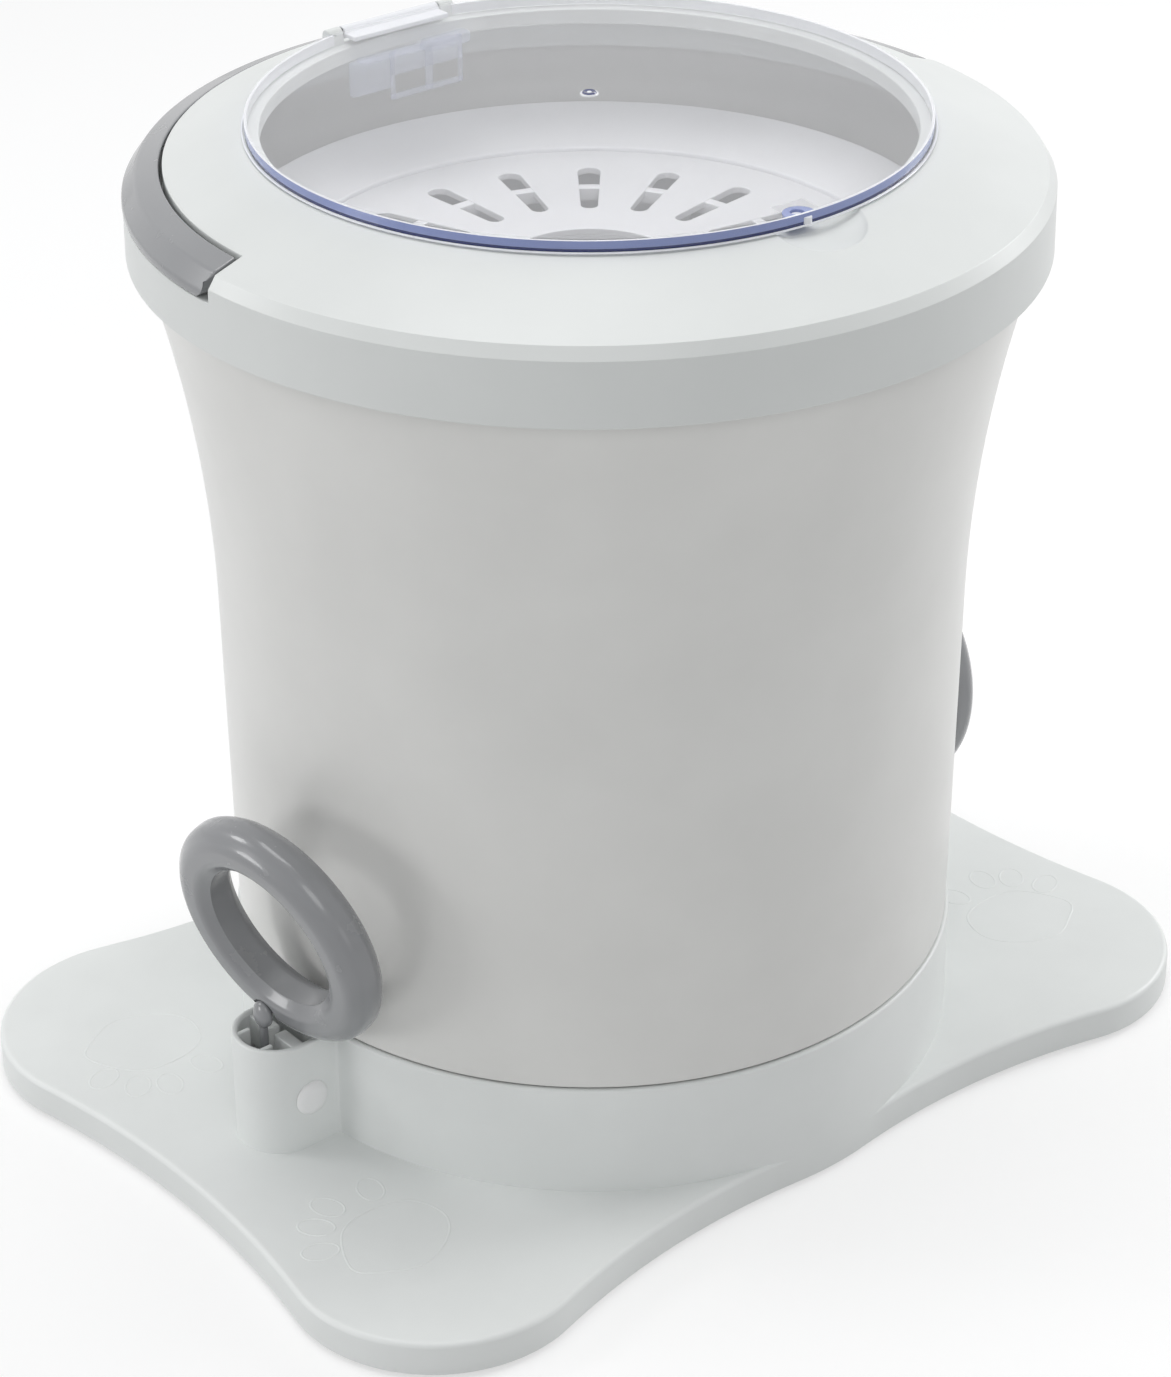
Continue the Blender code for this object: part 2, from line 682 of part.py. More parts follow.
def make_bottom_cover():
    """Closes the underside of the base with a plate that the screws hold."""
    outline = plate_outline(PLATE_SKIN + SEAT_GAP)
    cover = prism("bottom_cover", outline, PLATE_BOTTOM, COVER_PLATE_TOP)
    holes = []
    for x, y in screw_places():
        profile = [
            (0.0, PLATE_BOTTOM - OVERRUN),
            (SCREW_HEAD_HOLE_R, PLATE_BOTTOM - OVERRUN),
            (SCREW_HEAD_HOLE_R, PLATE_BOTTOM + SCREW_HEAD_DEPTH),
            (SCREW_HOLE_R, PLATE_BOTTOM + SCREW_HEAD_DEPTH),
            (SCREW_HOLE_R, COVER_PLATE_TOP + OVERRUN),
            (0.0, COVER_PLATE_TOP + OVERRUN),
        ]
        hole = turned("hole", profile, FINE_STEPS)
        hole.data.transform(Matrix.Translation((x, y, 0.0)))
        holes.append(hole)
    return cut(cover, merged("holes", holes))


def make_screw(name):
    """Builds one screw of the bottom cover, standing at the middle of the base."""
    head_top = PLATE_BOTTOM + SCREW_HEAD_DEPTH - SEAT_GAP
    tip = PLATE_TOP - 1.5 * PLATE_SKIN
    profile = [
        (0.0, PLATE_BOTTOM),
        (SCREW_HEAD_R, PLATE_BOTTOM),
        (SCREW_HEAD_R, head_top),
        (SCREW_SHANK_R, head_top),
        (SCREW_SHANK_R, tip),
        (0.0, tip),
    ]
    return turned(name, profile, FINE_STEPS)


def make_foot(x, y, name):
    return rod(name, (x, y, 0.0), (x, y, FOOT_HEIGHT), FOOT_R)


def make_spring_housing():
    """Builds the open cup that holds the return spring."""
    inner = HOUSING_R - HOUSING_WALL
    profile = [
        (0.0, HOUSING_BOTTOM),
        (HOUSING_R, HOUSING_BOTTOM),
        (HOUSING_R, HOUSING_TOP),
        (inner, HOUSING_TOP),
        (inner, HOUSING_FLOOR),
        (0.0, HOUSING_FLOOR),
    ]
    return turned("spring_housing", profile, MEDIUM_STEPS)


def make_centre_axle():
    """Builds the fixed steel post that the rope wheel turns on."""
    bottom = HOUSING_FLOOR + SEAT_GAP
    top = DOG_TOP - DOG_ROOF - SEAT_GAP
    profile = [
        (0.0, bottom),
        (AXLE_FLANGE_R, bottom),
        (AXLE_FLANGE_R, bottom + AXLE_FLANGE),
        (AXLE_R, bottom + AXLE_FLANGE),
        (AXLE_R, top),
        (0.0, top),
    ]
    return turned("centre_axle", profile, SMALL_STEPS)


def make_return_spring():
    """Winds the flat return spring from the wheel's arbor out to its housing."""
    half = 0.5 * SPRING_THICK
    first = ARBOR_R + SEAT_GAP + half
    last = HOUSING_R - HOUSING_WALL - RUN_GAP - half
    low = HOUSING_FLOOR + SEAT_GAP
    high = low + SPRING_WIDTH
    steps = SPRING_TURNS * SPRING_TURN_STEPS
    pitch = (last - first) / SPRING_TURNS
    print("return spring: least gap between turns %.2f mm" % (1000.0 * (pitch - SPRING_THICK)))
    bm = bmesh.new()
    sections = []
    for step in range(steps + 1):
        share = step / steps
        radius = first + (last - first) * share
        angle = TURN * SPRING_TURNS * share
        section = []
        for offset, height in ((-half, low), (half, low), (half, high), (-half, high)):
            x = (radius + offset) * math.cos(angle)
            y = (radius + offset) * math.sin(angle)
            section.append(bm.verts.new((x, y, height)))
        sections.append(section)
    for before, after in zip(sections, sections[1:]):
        for corner in range(4):
            follower = (corner + 1) % 4
            bm.faces.new((before[corner], before[follower], after[follower], after[corner]))
    bm.faces.new(sections[0])
    bm.faces.new(sections[-1])
    return object_from("return_spring", bm)


def make_rope_wheel():
    """Builds the two-groove drum with its spring arbor and hexagonal drive dog."""
    bore = AXLE_R + RUN_GAP
    roof = DOG_TOP - DOG_ROOF
    groove = DRUM_CORD_R - CORD_R - GROOVE_FLOOR_GAP
    low_mid = CORD_Z - GROOVE_OFFSET
    high_mid = CORD_Z + GROOVE_OFFSET
    half = 0.5 * GROOVE_WIDTH
    arbor_bottom = HOUSING_FLOOR + SEAT_GAP + AXLE_FLANGE + SEAT_GAP
    profile = [
        (bore, arbor_bottom),
        (ARBOR_R, arbor_bottom),
        (ARBOR_R, WHEEL_BOTTOM),
        (WHEEL_R, WHEEL_BOTTOM),
        (WHEEL_R, low_mid - half),
        (groove, low_mid - half),
        (groove, low_mid + half),
        (WHEEL_R, low_mid + half),
        (WHEEL_R, high_mid - half),
        (groove, high_mid - half),
        (groove, high_mid + half),
        (WHEEL_R, high_mid + half),
        (WHEEL_R, WHEEL_TOP),
        (0.0, WHEEL_TOP),
        (0.0, WHEEL_TOP - WHEEL_LIP),
        (bore, WHEEL_TOP - WHEEL_LIP),
    ]
    wheel = turned("rope_wheel", profile, MEDIUM_STEPS)
    join(wheel, rod("dog", (0.0, 0.0, WHEEL_TOP - 0.5 * WHEEL_LIP), (0.0, 0.0, DOG_TOP), DOG_R, 6))
    cut(wheel, rod("bore", (0.0, 0.0, WHEEL_BOTTOM), (0.0, 0.0, roof), bore))
    return wheel


def make_wound_cord(side, name):
    """Builds the wound part of one cord as a plain ring in its groove of the drum."""
    return torus(name, (0.0, 0.0, drum_touch(side).z), DRUM_CORD_R, CORD_R, MEDIUM_STEPS, 6)


def torus(name, center, radius, tube, steps, tube_steps):
    """Makes a level ring of round section."""
    bm = bmesh.new()
    rows = []
    for step in range(steps):
        angle = TURN * step / steps
        row = []
        for corner in range(tube_steps):
            turn = TURN * corner / tube_steps
            reach = radius + tube * math.cos(turn)
            point = (reach * math.cos(angle), reach * math.sin(angle), tube * math.sin(turn))
            row.append(bm.verts.new(Vector(center) + Vector(point)))
        rows.append(row)
    for step in range(steps):
        row, after = rows[step], rows[(step + 1) % steps]
        for corner in range(tube_steps):
            follower = (corner + 1) % tube_steps
            bm.faces.new((row[corner], row[follower], after[follower], after[corner]))
    return object_from(name, bm)


def make_pulley(side, name):
    """Builds a guide pulley with its hub, turned about the Y direction."""
    floor = PULLEY_CORD_R - CORD_R - SEAT_GAP
    half = 0.5 * PULLEY_WIDTH
    lip = half - PULLEY_LIP
    bore = PULLEY_AXLE_R + RUN_GAP
    pocket_flat = (SOCKET_R - SOCKET_WALL) * math.cos(QUARTER / FINE_STEPS)
    hub = math.sqrt(pocket_flat**2 - (PULLEY_X + PULLEY_HUB_R - SOCKET_X) ** 2) - RUN_GAP
    profile = [
        (bore, -hub),
        (PULLEY_HUB_R, -hub),
        (PULLEY_HUB_R, -half),
        (PULLEY_FLANGE_R, -half),
        (PULLEY_FLANGE_R, -lip),
        (floor, -0.5 * lip),
        (floor, 0.5 * lip),
        (PULLEY_FLANGE_R, lip),
        (PULLEY_FLANGE_R, half),
        (PULLEY_HUB_R, half),
        (PULLEY_HUB_R, hub),
        (bore, hub),
    ]
    pulley = turned(name, profile, SMALL_STEPS)
    pulley.data.transform(Matrix.Rotation(QUARTER, 4, "X"))
    pulley.data.transform(Matrix.Translation((side * PULLEY_X, 0.0, PULLEY_Z)))
    return pulley


def make_pulley_axle(side, name):
    x = side * PULLEY_X
    return rod(name, (x, -SOCKET_R, PULLEY_Z), (x, SOCKET_R, PULLEY_Z), PULLEY_AXLE_R)


def make_axle_cap(side, facing, name):
    """Builds a domed cap over one end of a pulley axle."""
    steps = 3
    profile = [(0.0, 0.0)]
    for step in range(steps + 1):
        angle = QUARTER * step / steps
        profile.append((CAP_R * math.cos(angle), CAP_DOME * math.sin(angle)))
    profile[-1] = (0.0, CAP_DOME)
    cap = turned(name, profile, SMALL_STEPS)
    cap.data.transform(Matrix.Rotation(-facing * QUARTER, 4, "X"))
    cap.data.transform(Matrix.Translation((side * PULLEY_X, facing * (SOCKET_R + SEAT_GAP), PULLEY_Z)))
    return cap


def cord_route(side):
    """Returns the fixed part of a cord: from the drum, under the pulley and up its outer side."""
    touch = drum_touch(side)
    pulley_foot = Vector((side * PULLEY_X, 0.0, CORD_Z))
    line = pulley_foot - touch
    clear = math.sqrt((DRUM_CORD_R + 2.0 * CORD_R + RUN_GAP) ** 2 - DRUM_CORD_R**2)
    first = clear / line.length
    points = []
    for step in range(CORD_RUN_STEPS):
        points.append(touch.lerp(pulley_foot, first + (1.0 - first) * step / CORD_RUN_STEPS))
    for step in range(CORD_TURN_STEPS + 1):
        angle = QUARTER * step / CORD_TURN_STEPS
        x = side * (PULLEY_X + PULLEY_CORD_R * math.sin(angle))
        points.append(Vector((x, 0.0, PULLEY_Z - PULLEY_CORD_R * math.cos(angle))))
    return points


def make_cord(name, points):
    """Makes a cord as a round tube along its points."""
    curve = bpy.data.curves.new(name, "CURVE")
    curve.dimensions = "3D"
    curve.bevel_depth = CORD_R
    curve.bevel_resolution = 2
    curve.use_fill_caps = True
    spline = curve.splines.new("POLY")
    spline.points.add(len(points) - 1)
    for knot, point in zip(spline.points, points):
        knot.co = (*point, 1.0)
    item = bpy.data.objects.new(name, curve)
    bpy.context.scene.collection.objects.link(item)
    return item


def make_cord_riser(side, name):
    """Makes the upright stretch of cord that grows as its ring is pulled."""
    low = (side * CORD_X, 0.0, PULLEY_Z + SEAT_GAP)
    high = (side * CORD_X, 0.0, LUG_TAIL - SEAT_GAP)
    return rod(name, low, high, CORD_R, 8)


def make_cord_lug(side, name):
    """Builds the tongue on the cord's end, with the ball that the pull ring tilts on."""
    x = side * CORD_X
    half_x, half_y = 0.5 * LUG_THICK, 0.5 * LUG_WIDTH
    lug = box(name, (x - half_x, -half_y, LUG_TAIL), (x + half_x, half_y, LUG_BALL_Z - 0.5 * LUG_BALL_R))
    return join(lug, ball("ball", (x, 0.0, LUG_BALL_Z), (LUG_BALL_R, LUG_BALL_R, LUG_BALL_R), 12))


def ring_frame(side, hand):
    """Returns a pull ring's centre, outward normal and the direction up from its seat."""
    lean, roll, yaw = RING_LEAN[hand], RING_ROLL[hand], RING_YAW[hand]
    level_part = math.cos(lean)
    normal = Vector((side * level_part * math.cos(yaw), -level_part * math.sin(yaw), -math.sin(lean)))
    across = Vector((0.0, 0.0, 1.0)).cross(normal).normalized()
    rise = normal.cross(across).normalized()
    if across.y > 0.0:
        across.negate()
    upward = math.cos(roll) * rise + math.sin(roll) * across
    seat = RING_TUBE_R + RING_CUP_SHARE * LUG_BALL_R
    ball_center = Vector((side * CORD_X, 0.0, LUG_BALL_Z))
    middle = ball_center + upward * (RING_R + seat * math.sin(RING_SEAT_ANGLE))
    middle -= normal * (seat * math.cos(RING_SEAT_ANGLE))
    return middle, normal, upward


def make_pull_ring(side, hand, name):
    """Builds a round pull ring with the cup that sits on its lug's ball."""
    middle, normal, upward = ring_frame(side, hand)
    ring = torus(name, (0.0, 0.0, 0.0), RING_R, RING_TUBE_R, RING_STEPS, RING_TUBE_STEPS)
    across = upward.cross(normal)
    turn = Matrix((across, upward, normal)).transposed().to_4x4()
    if turn.determinant() < 0.0:
        turn = Matrix((-across, upward, normal)).transposed().to_4x4()
    ring.data.transform(Matrix.Translation(middle) @ turn)
    cup = LUG_BALL_R + RUN_GAP
    cut(ring, ball("cup", (side * CORD_X, 0.0, LUG_BALL_Z), (cup, cup, cup)))
    return ring


def tub_radius(height):
    """Returns the tub's outer radius at a height above its spigot."""
    if height <= TUB_MID_HEIGHT:
        share = (height - COLLAR_TOP) / (TUB_MID_HEIGHT - COLLAR_TOP)
        return TUB_LOW_R + (TUB_MID_R - TUB_LOW_R) * share
    rise = height - TUB_MID_HEIGHT
    return TUB_MID_R + TUB_FLARE_R - math.sqrt(TUB_FLARE_R**2 - rise**2)


def make_tub():
    """Builds the flared tub with its spigot, floor, spindle boss and snap bead."""
    step_low = COLLAR_TOP + TUB_STEP_GAP
    outside = [(TUB_FOOT_R, TUB_BOTTOM), (TUB_FOOT_R, step_low), (TUB_LOW_R, step_low + TUB_STEP)]
    inside = []
    for step in range(TUB_FLARE_STEPS + 1):
        height = TUB_MID_HEIGHT + (TUB_FLARE_TOP - TUB_MID_HEIGHT) * step / TUB_FLARE_STEPS
        radius = tub_radius(height)
        outside.append((radius, height))
        inside.append((radius - TUB_WALL, height))
    outside += [(TUB_RIM_R, TUB_BEAD_LOW), (TUB_BEAD_R, TUB_BEAD_LOW), (TUB_BEAD_R, TUB_BEAD_HIGH)]
    outside += [(TUB_RIM_R, TUB_BEAD_HIGH), (TUB_RIM_R, TUB_RIM_TOP), (TUB_RIM_R - TUB_WALL, TUB_RIM_TOP)]
    floor_r = TUB_FOOT_R - TUB_WALL
    bottom = [(floor_r, TUB_FLOOR_TOP), (0.0, TUB_FLOOR_TOP), (0.0, TUB_FLOOR_BOTTOM)]
    bottom += [(floor_r, TUB_FLOOR_BOTTOM), (floor_r, TUB_BOTTOM)]
    tub = turned("tub", outside + inside[::-1] + bottom)
    join(tub, rod("boss", (0.0, 0.0, BOSS_BOTTOM), (0.0, 0.0, BOSS_TOP), BOSS_R))
    low = (0.0, 0.0, BOSS_BOTTOM - OVERRUN)
    return cut(tub, rod("bore", low, (0.0, 0.0, BOSS_TOP + OVERRUN), BOSS_BORE_R))


def tube_ring(name, inner, outer, low, high, steps=SMALL_STEPS):
    return turned(name, [(inner, low), (outer, low), (outer, high), (inner, high)], steps)


def make_tub_bush():
    outer = BOSS_BORE_R - SEAT_GAP
    top = BOSS_TOP - SEAL_HEIGHT - SEAT_GAP
    return tube_ring("tub_bush", SPINDLE_R + SEAT_GAP, outer, BOSS_BOTTOM, top)


def make_shaft_seal():
    outer = BOSS_BORE_R - SEAT_GAP
    return tube_ring("shaft_seal", SPINDLE_R + SEAT_GAP, outer, BOSS_TOP - SEAL_HEIGHT, BOSS_TOP)


def make_spindle():
    low = (0.0, 0.0, CUP_SOCKET_TOP + SEAT_GAP)
    return rod("spindle", low, (0.0, 0.0, SPINDLE_TOP), SPINDLE_R)


def make_drive_cup():
    """Builds the coupling under the tub that drops over the rope wheel's dog."""
    cup = tube_ring("drive_cup", SPINDLE_R + SEAT_GAP, CUP_R, CUP_BOTTOM, CUP_TOP)
    low = (0.0, 0.0, CUP_BOTTOM - OVERRUN)
    return cut(cup, rod("socket", low, (0.0, 0.0, CUP_SOCKET_TOP), DOG_R + RUN_GAP, 6))


def funnel_top(radius):
    """Returns the height of the funnel ring's sloping face at a radius."""
    return FUNNEL_FOOT_TOP + FUNNEL_SLOPE * (radius - FUNNEL_FOOT_R)


def make_spin_basket():
    """Builds the perforated basket with its hub."""
    bore = SPINDLE_R + SEAT_GAP
    inner = BASKET_R - BASKET_WALL
    rim_drop = FUNNEL_THICK + 1.2 * SEAT_GAP
    profile = [
        (0.0, BASKET_BOTTOM),
        (BASKET_R - BASKET_CORNER, BASKET_BOTTOM),
        (BASKET_R, BASKET_BOTTOM + BASKET_CORNER),
        (BASKET_R, funnel_top(BASKET_R) - rim_drop),
        (inner, funnel_top(inner) - rim_drop),
        (inner, BASKET_BOTTOM + BASKET_CORNER),
        (inner - 0.5 * BASKET_CORNER, BASKET_FLOOR_TOP),
        (0.0, BASKET_FLOOR_TOP),
    ]
    basket = turned("spin_basket", profile)
    hub_low = (0.0, 0.0, BASKET_BOTTOM + 0.5 * BASKET_FLOOR)
    join(basket, rod("hub", hub_low, (0.0, 0.0, BASKET_HUB_TOP), BASKET_HUB_R))
    bore_low = (0.0, 0.0, BASKET_BOTTOM - OVERRUN)
    cut(basket, rod("bore", bore_low, (0.0, 0.0, BASKET_HUB_TOP + OVERRUN), bore))
    half = 0.5 * WALL_SLOT_WIDTH
    slots = []
    room = FUNNEL_FOOT_TOP - WALL_SLOT_HEAD - (BASKET_BOTTOM + WALL_SLOT_FOOT)
    slot_height = (room - WALL_SLOT_GAP * (WALL_SLOT_ROWS - 1)) / WALL_SLOT_ROWS
    for row in range(WALL_SLOT_ROWS):
        low = BASKET_BOTTOM + WALL_SLOT_FOOT + (slot_height + WALL_SLOT_GAP) * row
        inside = (inner - OVERRUN, -half, low)
        outside = (BASKET_R + OVERRUN, half, low + slot_height)
        slots.append(spun("row", box("slot", inside, outside), WALL_SLOT_COUNT))
    cut(basket, merged("wall_slots", slots))
    half = 0.5 * FLOOR_SLOT_WIDTH
    low = (FLOOR_SLOT_INNER, -half, BASKET_BOTTOM - OVERRUN)
    high = (FLOOR_SLOT_OUTER, half, BASKET_FLOOR_TOP + OVERRUN)
    return cut(basket, spun("floor_slots", box("slot", low, high), FLOOR_SLOT_COUNT))


def make_hub_nut():
    """Builds the cap nut that holds the basket on its spindle."""
    low = BASKET_HUB_TOP + SEAT_GAP
    nut = rod("hub_nut", (0.0, 0.0, low), (0.0, 0.0, SPINDLE_TOP + SEAT_GAP + NUT_ROOF), NUT_R, 6)
    bottom = (0.0, 0.0, low - OVERRUN)
    return cut(nut, rod("thread", bottom, (0.0, 0.0, SPINDLE_TOP + SEAT_GAP), SPINDLE_R + SEAT_GAP))


def make_funnel_ring():
    """Builds the sloping ring on the basket's rim, with the seat of the basket lid."""
    under = FUNNEL_FOOT_TOP - FUNNEL_THICK
    knee_r = FUNNEL_FOOT_R + SEAT_THICK
    knee = under + FUNNEL_SLOPE * SEAT_THICK
    profile = [
        (SEAT_INNER_R, SEAT_TOP),
        (SEAT_INNER_R, SEAT_TOP - SEAT_THICK),
        (knee_r, SEAT_TOP - SEAT_THICK),
        (knee_r, knee),
        (FUNNEL_R, FUNNEL_TOP - FUNNEL_THICK),
        (FUNNEL_R, FUNNEL_TOP),
        (FUNNEL_FOOT_R, FUNNEL_FOOT_TOP),
        (FUNNEL_FOOT_R, SEAT_TOP),
    ]
    return turned("funnel_ring", profile)


def lid_slot_outline():
    """Returns one radial slot of the basket lid, wider outward and round at both ends."""
    inner_r = 0.5 * LID_SLOT_INNER_WIDTH
    outer_r = 0.5 * LID_SLOT_OUTER_WIDTH
    inner = (LID_SLOT_INNER + inner_r, 0.0)
    outer = (LID_SLOT_OUTER - outer_r, 0.0)
    points = arc(outer, outer_r, -QUARTER, QUARTER, LID_SLOT_END_STEPS)
    points.append((outer[0], outer_r))
    points += arc(inner, inner_r, QUARTER, QUARTER + HALF, LID_SLOT_END_STEPS)
    points.append((inner[0], -inner_r))
    return points


def make_basket_lid():
    """Builds the slotted lid of the basket, whose round rib bridges the slots."""
    hole = FINGER_HOLE_R
    lip_bottom = BASKET_LID_BOTTOM - FINGER_LIP_DROP
    edge = FUNNEL_FOOT_R - RUN_GAP
    rib_inner = LID_RIB_R - 0.5 * LID_RIB_WIDTH
    rib_outer = LID_RIB_R + 0.5 * LID_RIB_WIDTH
    rib_bottom = BASKET_LID_BOTTOM - LID_RIB_DROP
    profile = [
        (hole, lip_bottom),
        (hole + FINGER_LIP, lip_bottom),
        (hole + FINGER_LIP, BASKET_LID_BOTTOM),
        (rib_inner, BASKET_LID_BOTTOM),
        (rib_inner, rib_bottom),
        (rib_outer, rib_bottom),
        (rib_outer, BASKET_LID_BOTTOM),
        (edge, BASKET_LID_BOTTOM),
        (edge, BASKET_LID_TOP),
        (hole, BASKET_LID_TOP),
    ]
    lid = turned("basket_lid", profile)
    slot = prism("slot", lid_slot_outline(), BASKET_LID_BOTTOM - OVERRUN, BASKET_LID_TOP + OVERRUN)
    slots = spun("slots", slot, LID_SLOT_COUNT)
    slots.data.transform(Matrix.Rotation(HALF / LID_SLOT_COUNT, 4, "Z"))
    bridge_top = BASKET_LID_BOTTOM + 0.4 * BASKET_LID_THICK
    bridge_bottom = BASKET_LID_BOTTOM - 2.0 * OVERRUN
    bridge_inner = rib_inner - SEAT_GAP
    bridge_outer = rib_outer + SEAT_GAP
    cut(slots, tube_ring("bridge", bridge_inner, bridge_outer, bridge_bottom, bridge_top, ROUND_STEPS))
    return cut(lid, slots)


def cover_top(radius):
    """Returns the height of the cover's sloping face at a radius."""
    return CHAMFER_TOP + COVER_SLOPE * (CHAMFER_R - radius)


def half_space(name, y_low):
    reach = SKIRT_R + OVERRUN
    return box(name, (-reach, y_low, SKIRT_BOTTOM), (reach, reach, DOME_TOP + OVERRUN))


def make_top_cover():
    """Builds the ring cover with its throat, handle rebate, finger scoop and hinge ears."""
    skirt_in = SKIRT_R - SKIRT_WALL
    seat_under = LID_SEAT_TOP - COVER_SKIN
    throat_out = THROAT_R + THROAT_WALL
    under_edge = cover_top(skirt_in) - COVER_SKIN - SEAT_GAP
    profile = [
        (skirt_in, SKIRT_BOTTOM),
        (SKIRT_R, SKIRT_BOTTOM),
        (SKIRT_TOP_R, CHAMFER_LOW),
        (CHAMFER_R, CHAMFER_TOP),
        (LID_SEAT_R, LID_SEAT_TOP),
        (THROAT_R, LID_SEAT_TOP),
        (THROAT_R, THROAT_BOTTOM),
        (throat_out, THROAT_BOTTOM),
        (throat_out, seat_under - COVER_SLOPE * (throat_out - THROAT_R)),
        (skirt_in - COVER_SKIN, cover_top(skirt_in - COVER_SKIN) - COVER_SKIN),
        (skirt_in, under_edge - COVER_SKIN),
    ]
    cover = turned("top_cover", profile, ROUND_STEPS, -COVER_TURN)
    join(cover, make_rebate_filling())
    cut(cover, keep(rebate_ring(), half_space("side", -REBATE_END)))
    pivot_reach = REBATE_R + OVERRUN
    pin_r = HANDLE_PIN_R + RUN_GAP
    low = (-pivot_reach, HANDLE_PIVOT_Y, HANDLE_PIVOT_Z)
    cut(cover, rod("pin_hole", low, (pivot_reach, HANDLE_PIVOT_Y, HANDLE_PIVOT_Z), pin_r))
    join(cover, make_scoop_pad())
    middle = (-SCOOP_OFFSET, -LID_SEAT_R, cover_top(LID_SEAT_R) + SEAT_GAP)
    cut(cover, ball("scoop", middle, (SCOOP_HALF_WIDTH, SCOOP_REACH, SCOOP_DEPTH)))
    for side in (1.0, -1.0):
        join(cover, make_hinge_ear(side))
    bore = HINGE_PIN_R + SEAT_GAP
    reach = HINGE_LID_HALF + HINGE_GAP + 0.8 * HINGE_EAR_WIDTH
    cut(cover, rod("pin_bore", (-reach, HINGE_Y, HINGE_Z), (reach, HINGE_Y, HINGE_Z), bore, FINE_STEPS))
    return cover


def make_rebate_filling():
    """Returns the wall, floor and ends of the handle's rebate, before the rebate is cut."""
    wall = REBATE_R - COVER_SKIN
    shelf = REBATE_FLOOR - COVER_SKIN
    outer = SKIRT_TOP_R - 0.5 * COVER_SKIN
    top = COVER_SKIN - 2.0 * SEAT_GAP
    profile = [
        (wall, shelf),
        (outer, shelf),
        (outer, CHAMFER_LOW - SEAT_GAP),
        (CHAMFER_R, CHAMFER_TOP - 0.5 * COVER_SKIN),
        (wall, cover_top(wall) - top),
    ]
    filling = turned("filling", profile, ROUND_STEPS, -COVER_TURN)
    return keep(filling, half_space("side", -REBATE_END - COVER_SKIN))


def rebate_ring():
    outer = SKIRT_R + OVERRUN
    high = CHAMFER_TOP + 4.0 * OVERRUN
    profile = [(REBATE_R, REBATE_FLOOR), (outer, REBATE_FLOOR), (outer, high), (REBATE_R, high)]
    return turned("rebate", profile, ROUND_STEPS, -COVER_TURN)


def make_scoop_pad():
    """Returns the thicker wall under the finger scoop."""
    low = PAD_THICK
    high = 0.5 * COVER_SKIN
    profile = [
        (THROAT_R + SEAT_GAP, LID_SEAT_TOP - high),
        (THROAT_R + SEAT_GAP, LID_SEAT_TOP - low),
        (PAD_OUTER_R, cover_top(PAD_OUTER_R) - low),
        (PAD_OUTER_R, cover_top(PAD_OUTER_R) - high),
        (LID_SEAT_R, cover_top(LID_SEAT_R) - high),
    ]
    middle = -QUARTER - math.asin(SCOOP_OFFSET / LID_SEAT_R)
    return turned("pad", profile, ROUND_STEPS, middle - PAD_HALF_ANGLE, 2.0 * PAD_HALF_ANGLE)


def make_hinge_ear(side):
    """Returns one of the two ears that hold the lid's hinge pin."""
    near = side * (HINGE_LID_HALF + HINGE_GAP)
    far = near + side * HINGE_EAR_WIDTH
    ear = rod("ear", (near, HINGE_Y, HINGE_Z), (far, HINGE_Y, HINGE_Z), HINGE_BARREL_R)
    low = (min(near, far), HINGE_Y - 0.8 * HINGE_BARREL_R, LID_SEAT_TOP - 0.5 * COVER_SKIN)
    high = (max(near, far), HINGE_Y + 0.8 * HINGE_BARREL_R, HINGE_Z)
    return join(ear, box("foot", low, high))


def make_carry_handle():
    """Builds the half-round carry handle that folds down into its rebate."""
    bottom = REBATE_FLOOR + SEAT_GAP
    top = HANDLE_TOP_DROP
    profile = [
        (HANDLE_INNER_R, bottom),
        (HANDLE_OUTER_R, bottom),
        (HANDLE_OUTER_R, CHAMFER_LOW),
        (CHAMFER_R, CHAMFER_TOP - top),
        (HANDLE_INNER_R, cover_top(HANDLE_INNER_R) - top),
    ]
    handle = turned("carry_handle", profile, ROUND_STEPS, -COVER_TURN)
    keep(handle, half_space("side", -HANDLE_END))
    reach = SKIRT_R + OVERRUN
    low = (-reach, -reach, REBATE_FLOOR - OVERRUN)
    heel = box("heel", low, (reach, HANDLE_PIVOT_Y, HANDLE_PIVOT_Z))
    start = (-reach - OVERRUN, HANDLE_PIVOT_Y, HANDLE_PIVOT_Z)
    end = (reach + OVERRUN, HANDLE_PIVOT_Y, HANDLE_PIVOT_Z)
    cut(heel, rod("round", start, end, HANDLE_HEEL_R, 2 * SMALL_STEPS))
    cut(handle, heel)
    hole = HANDLE_INNER_R + HANDLE_PIN_REACH + RUN_GAP
    low = (-hole, HANDLE_PIVOT_Y, HANDLE_PIVOT_Z)
    return cut(handle, rod("holes", low, (hole, HANDLE_PIVOT_Y, HANDLE_PIVOT_Z), HANDLE_PIN_R + RUN_GAP))


def make_handle_pin(side, name):
    inner = (side * (REBATE_R - COVER_SKIN), HANDLE_PIVOT_Y, HANDLE_PIVOT_Z)
    outer = (side * (HANDLE_INNER_R + HANDLE_PIN_REACH), HANDLE_PIVOT_Y, HANDLE_PIVOT_Z)
    return rod(name, inner, outer, HANDLE_PIN_R)


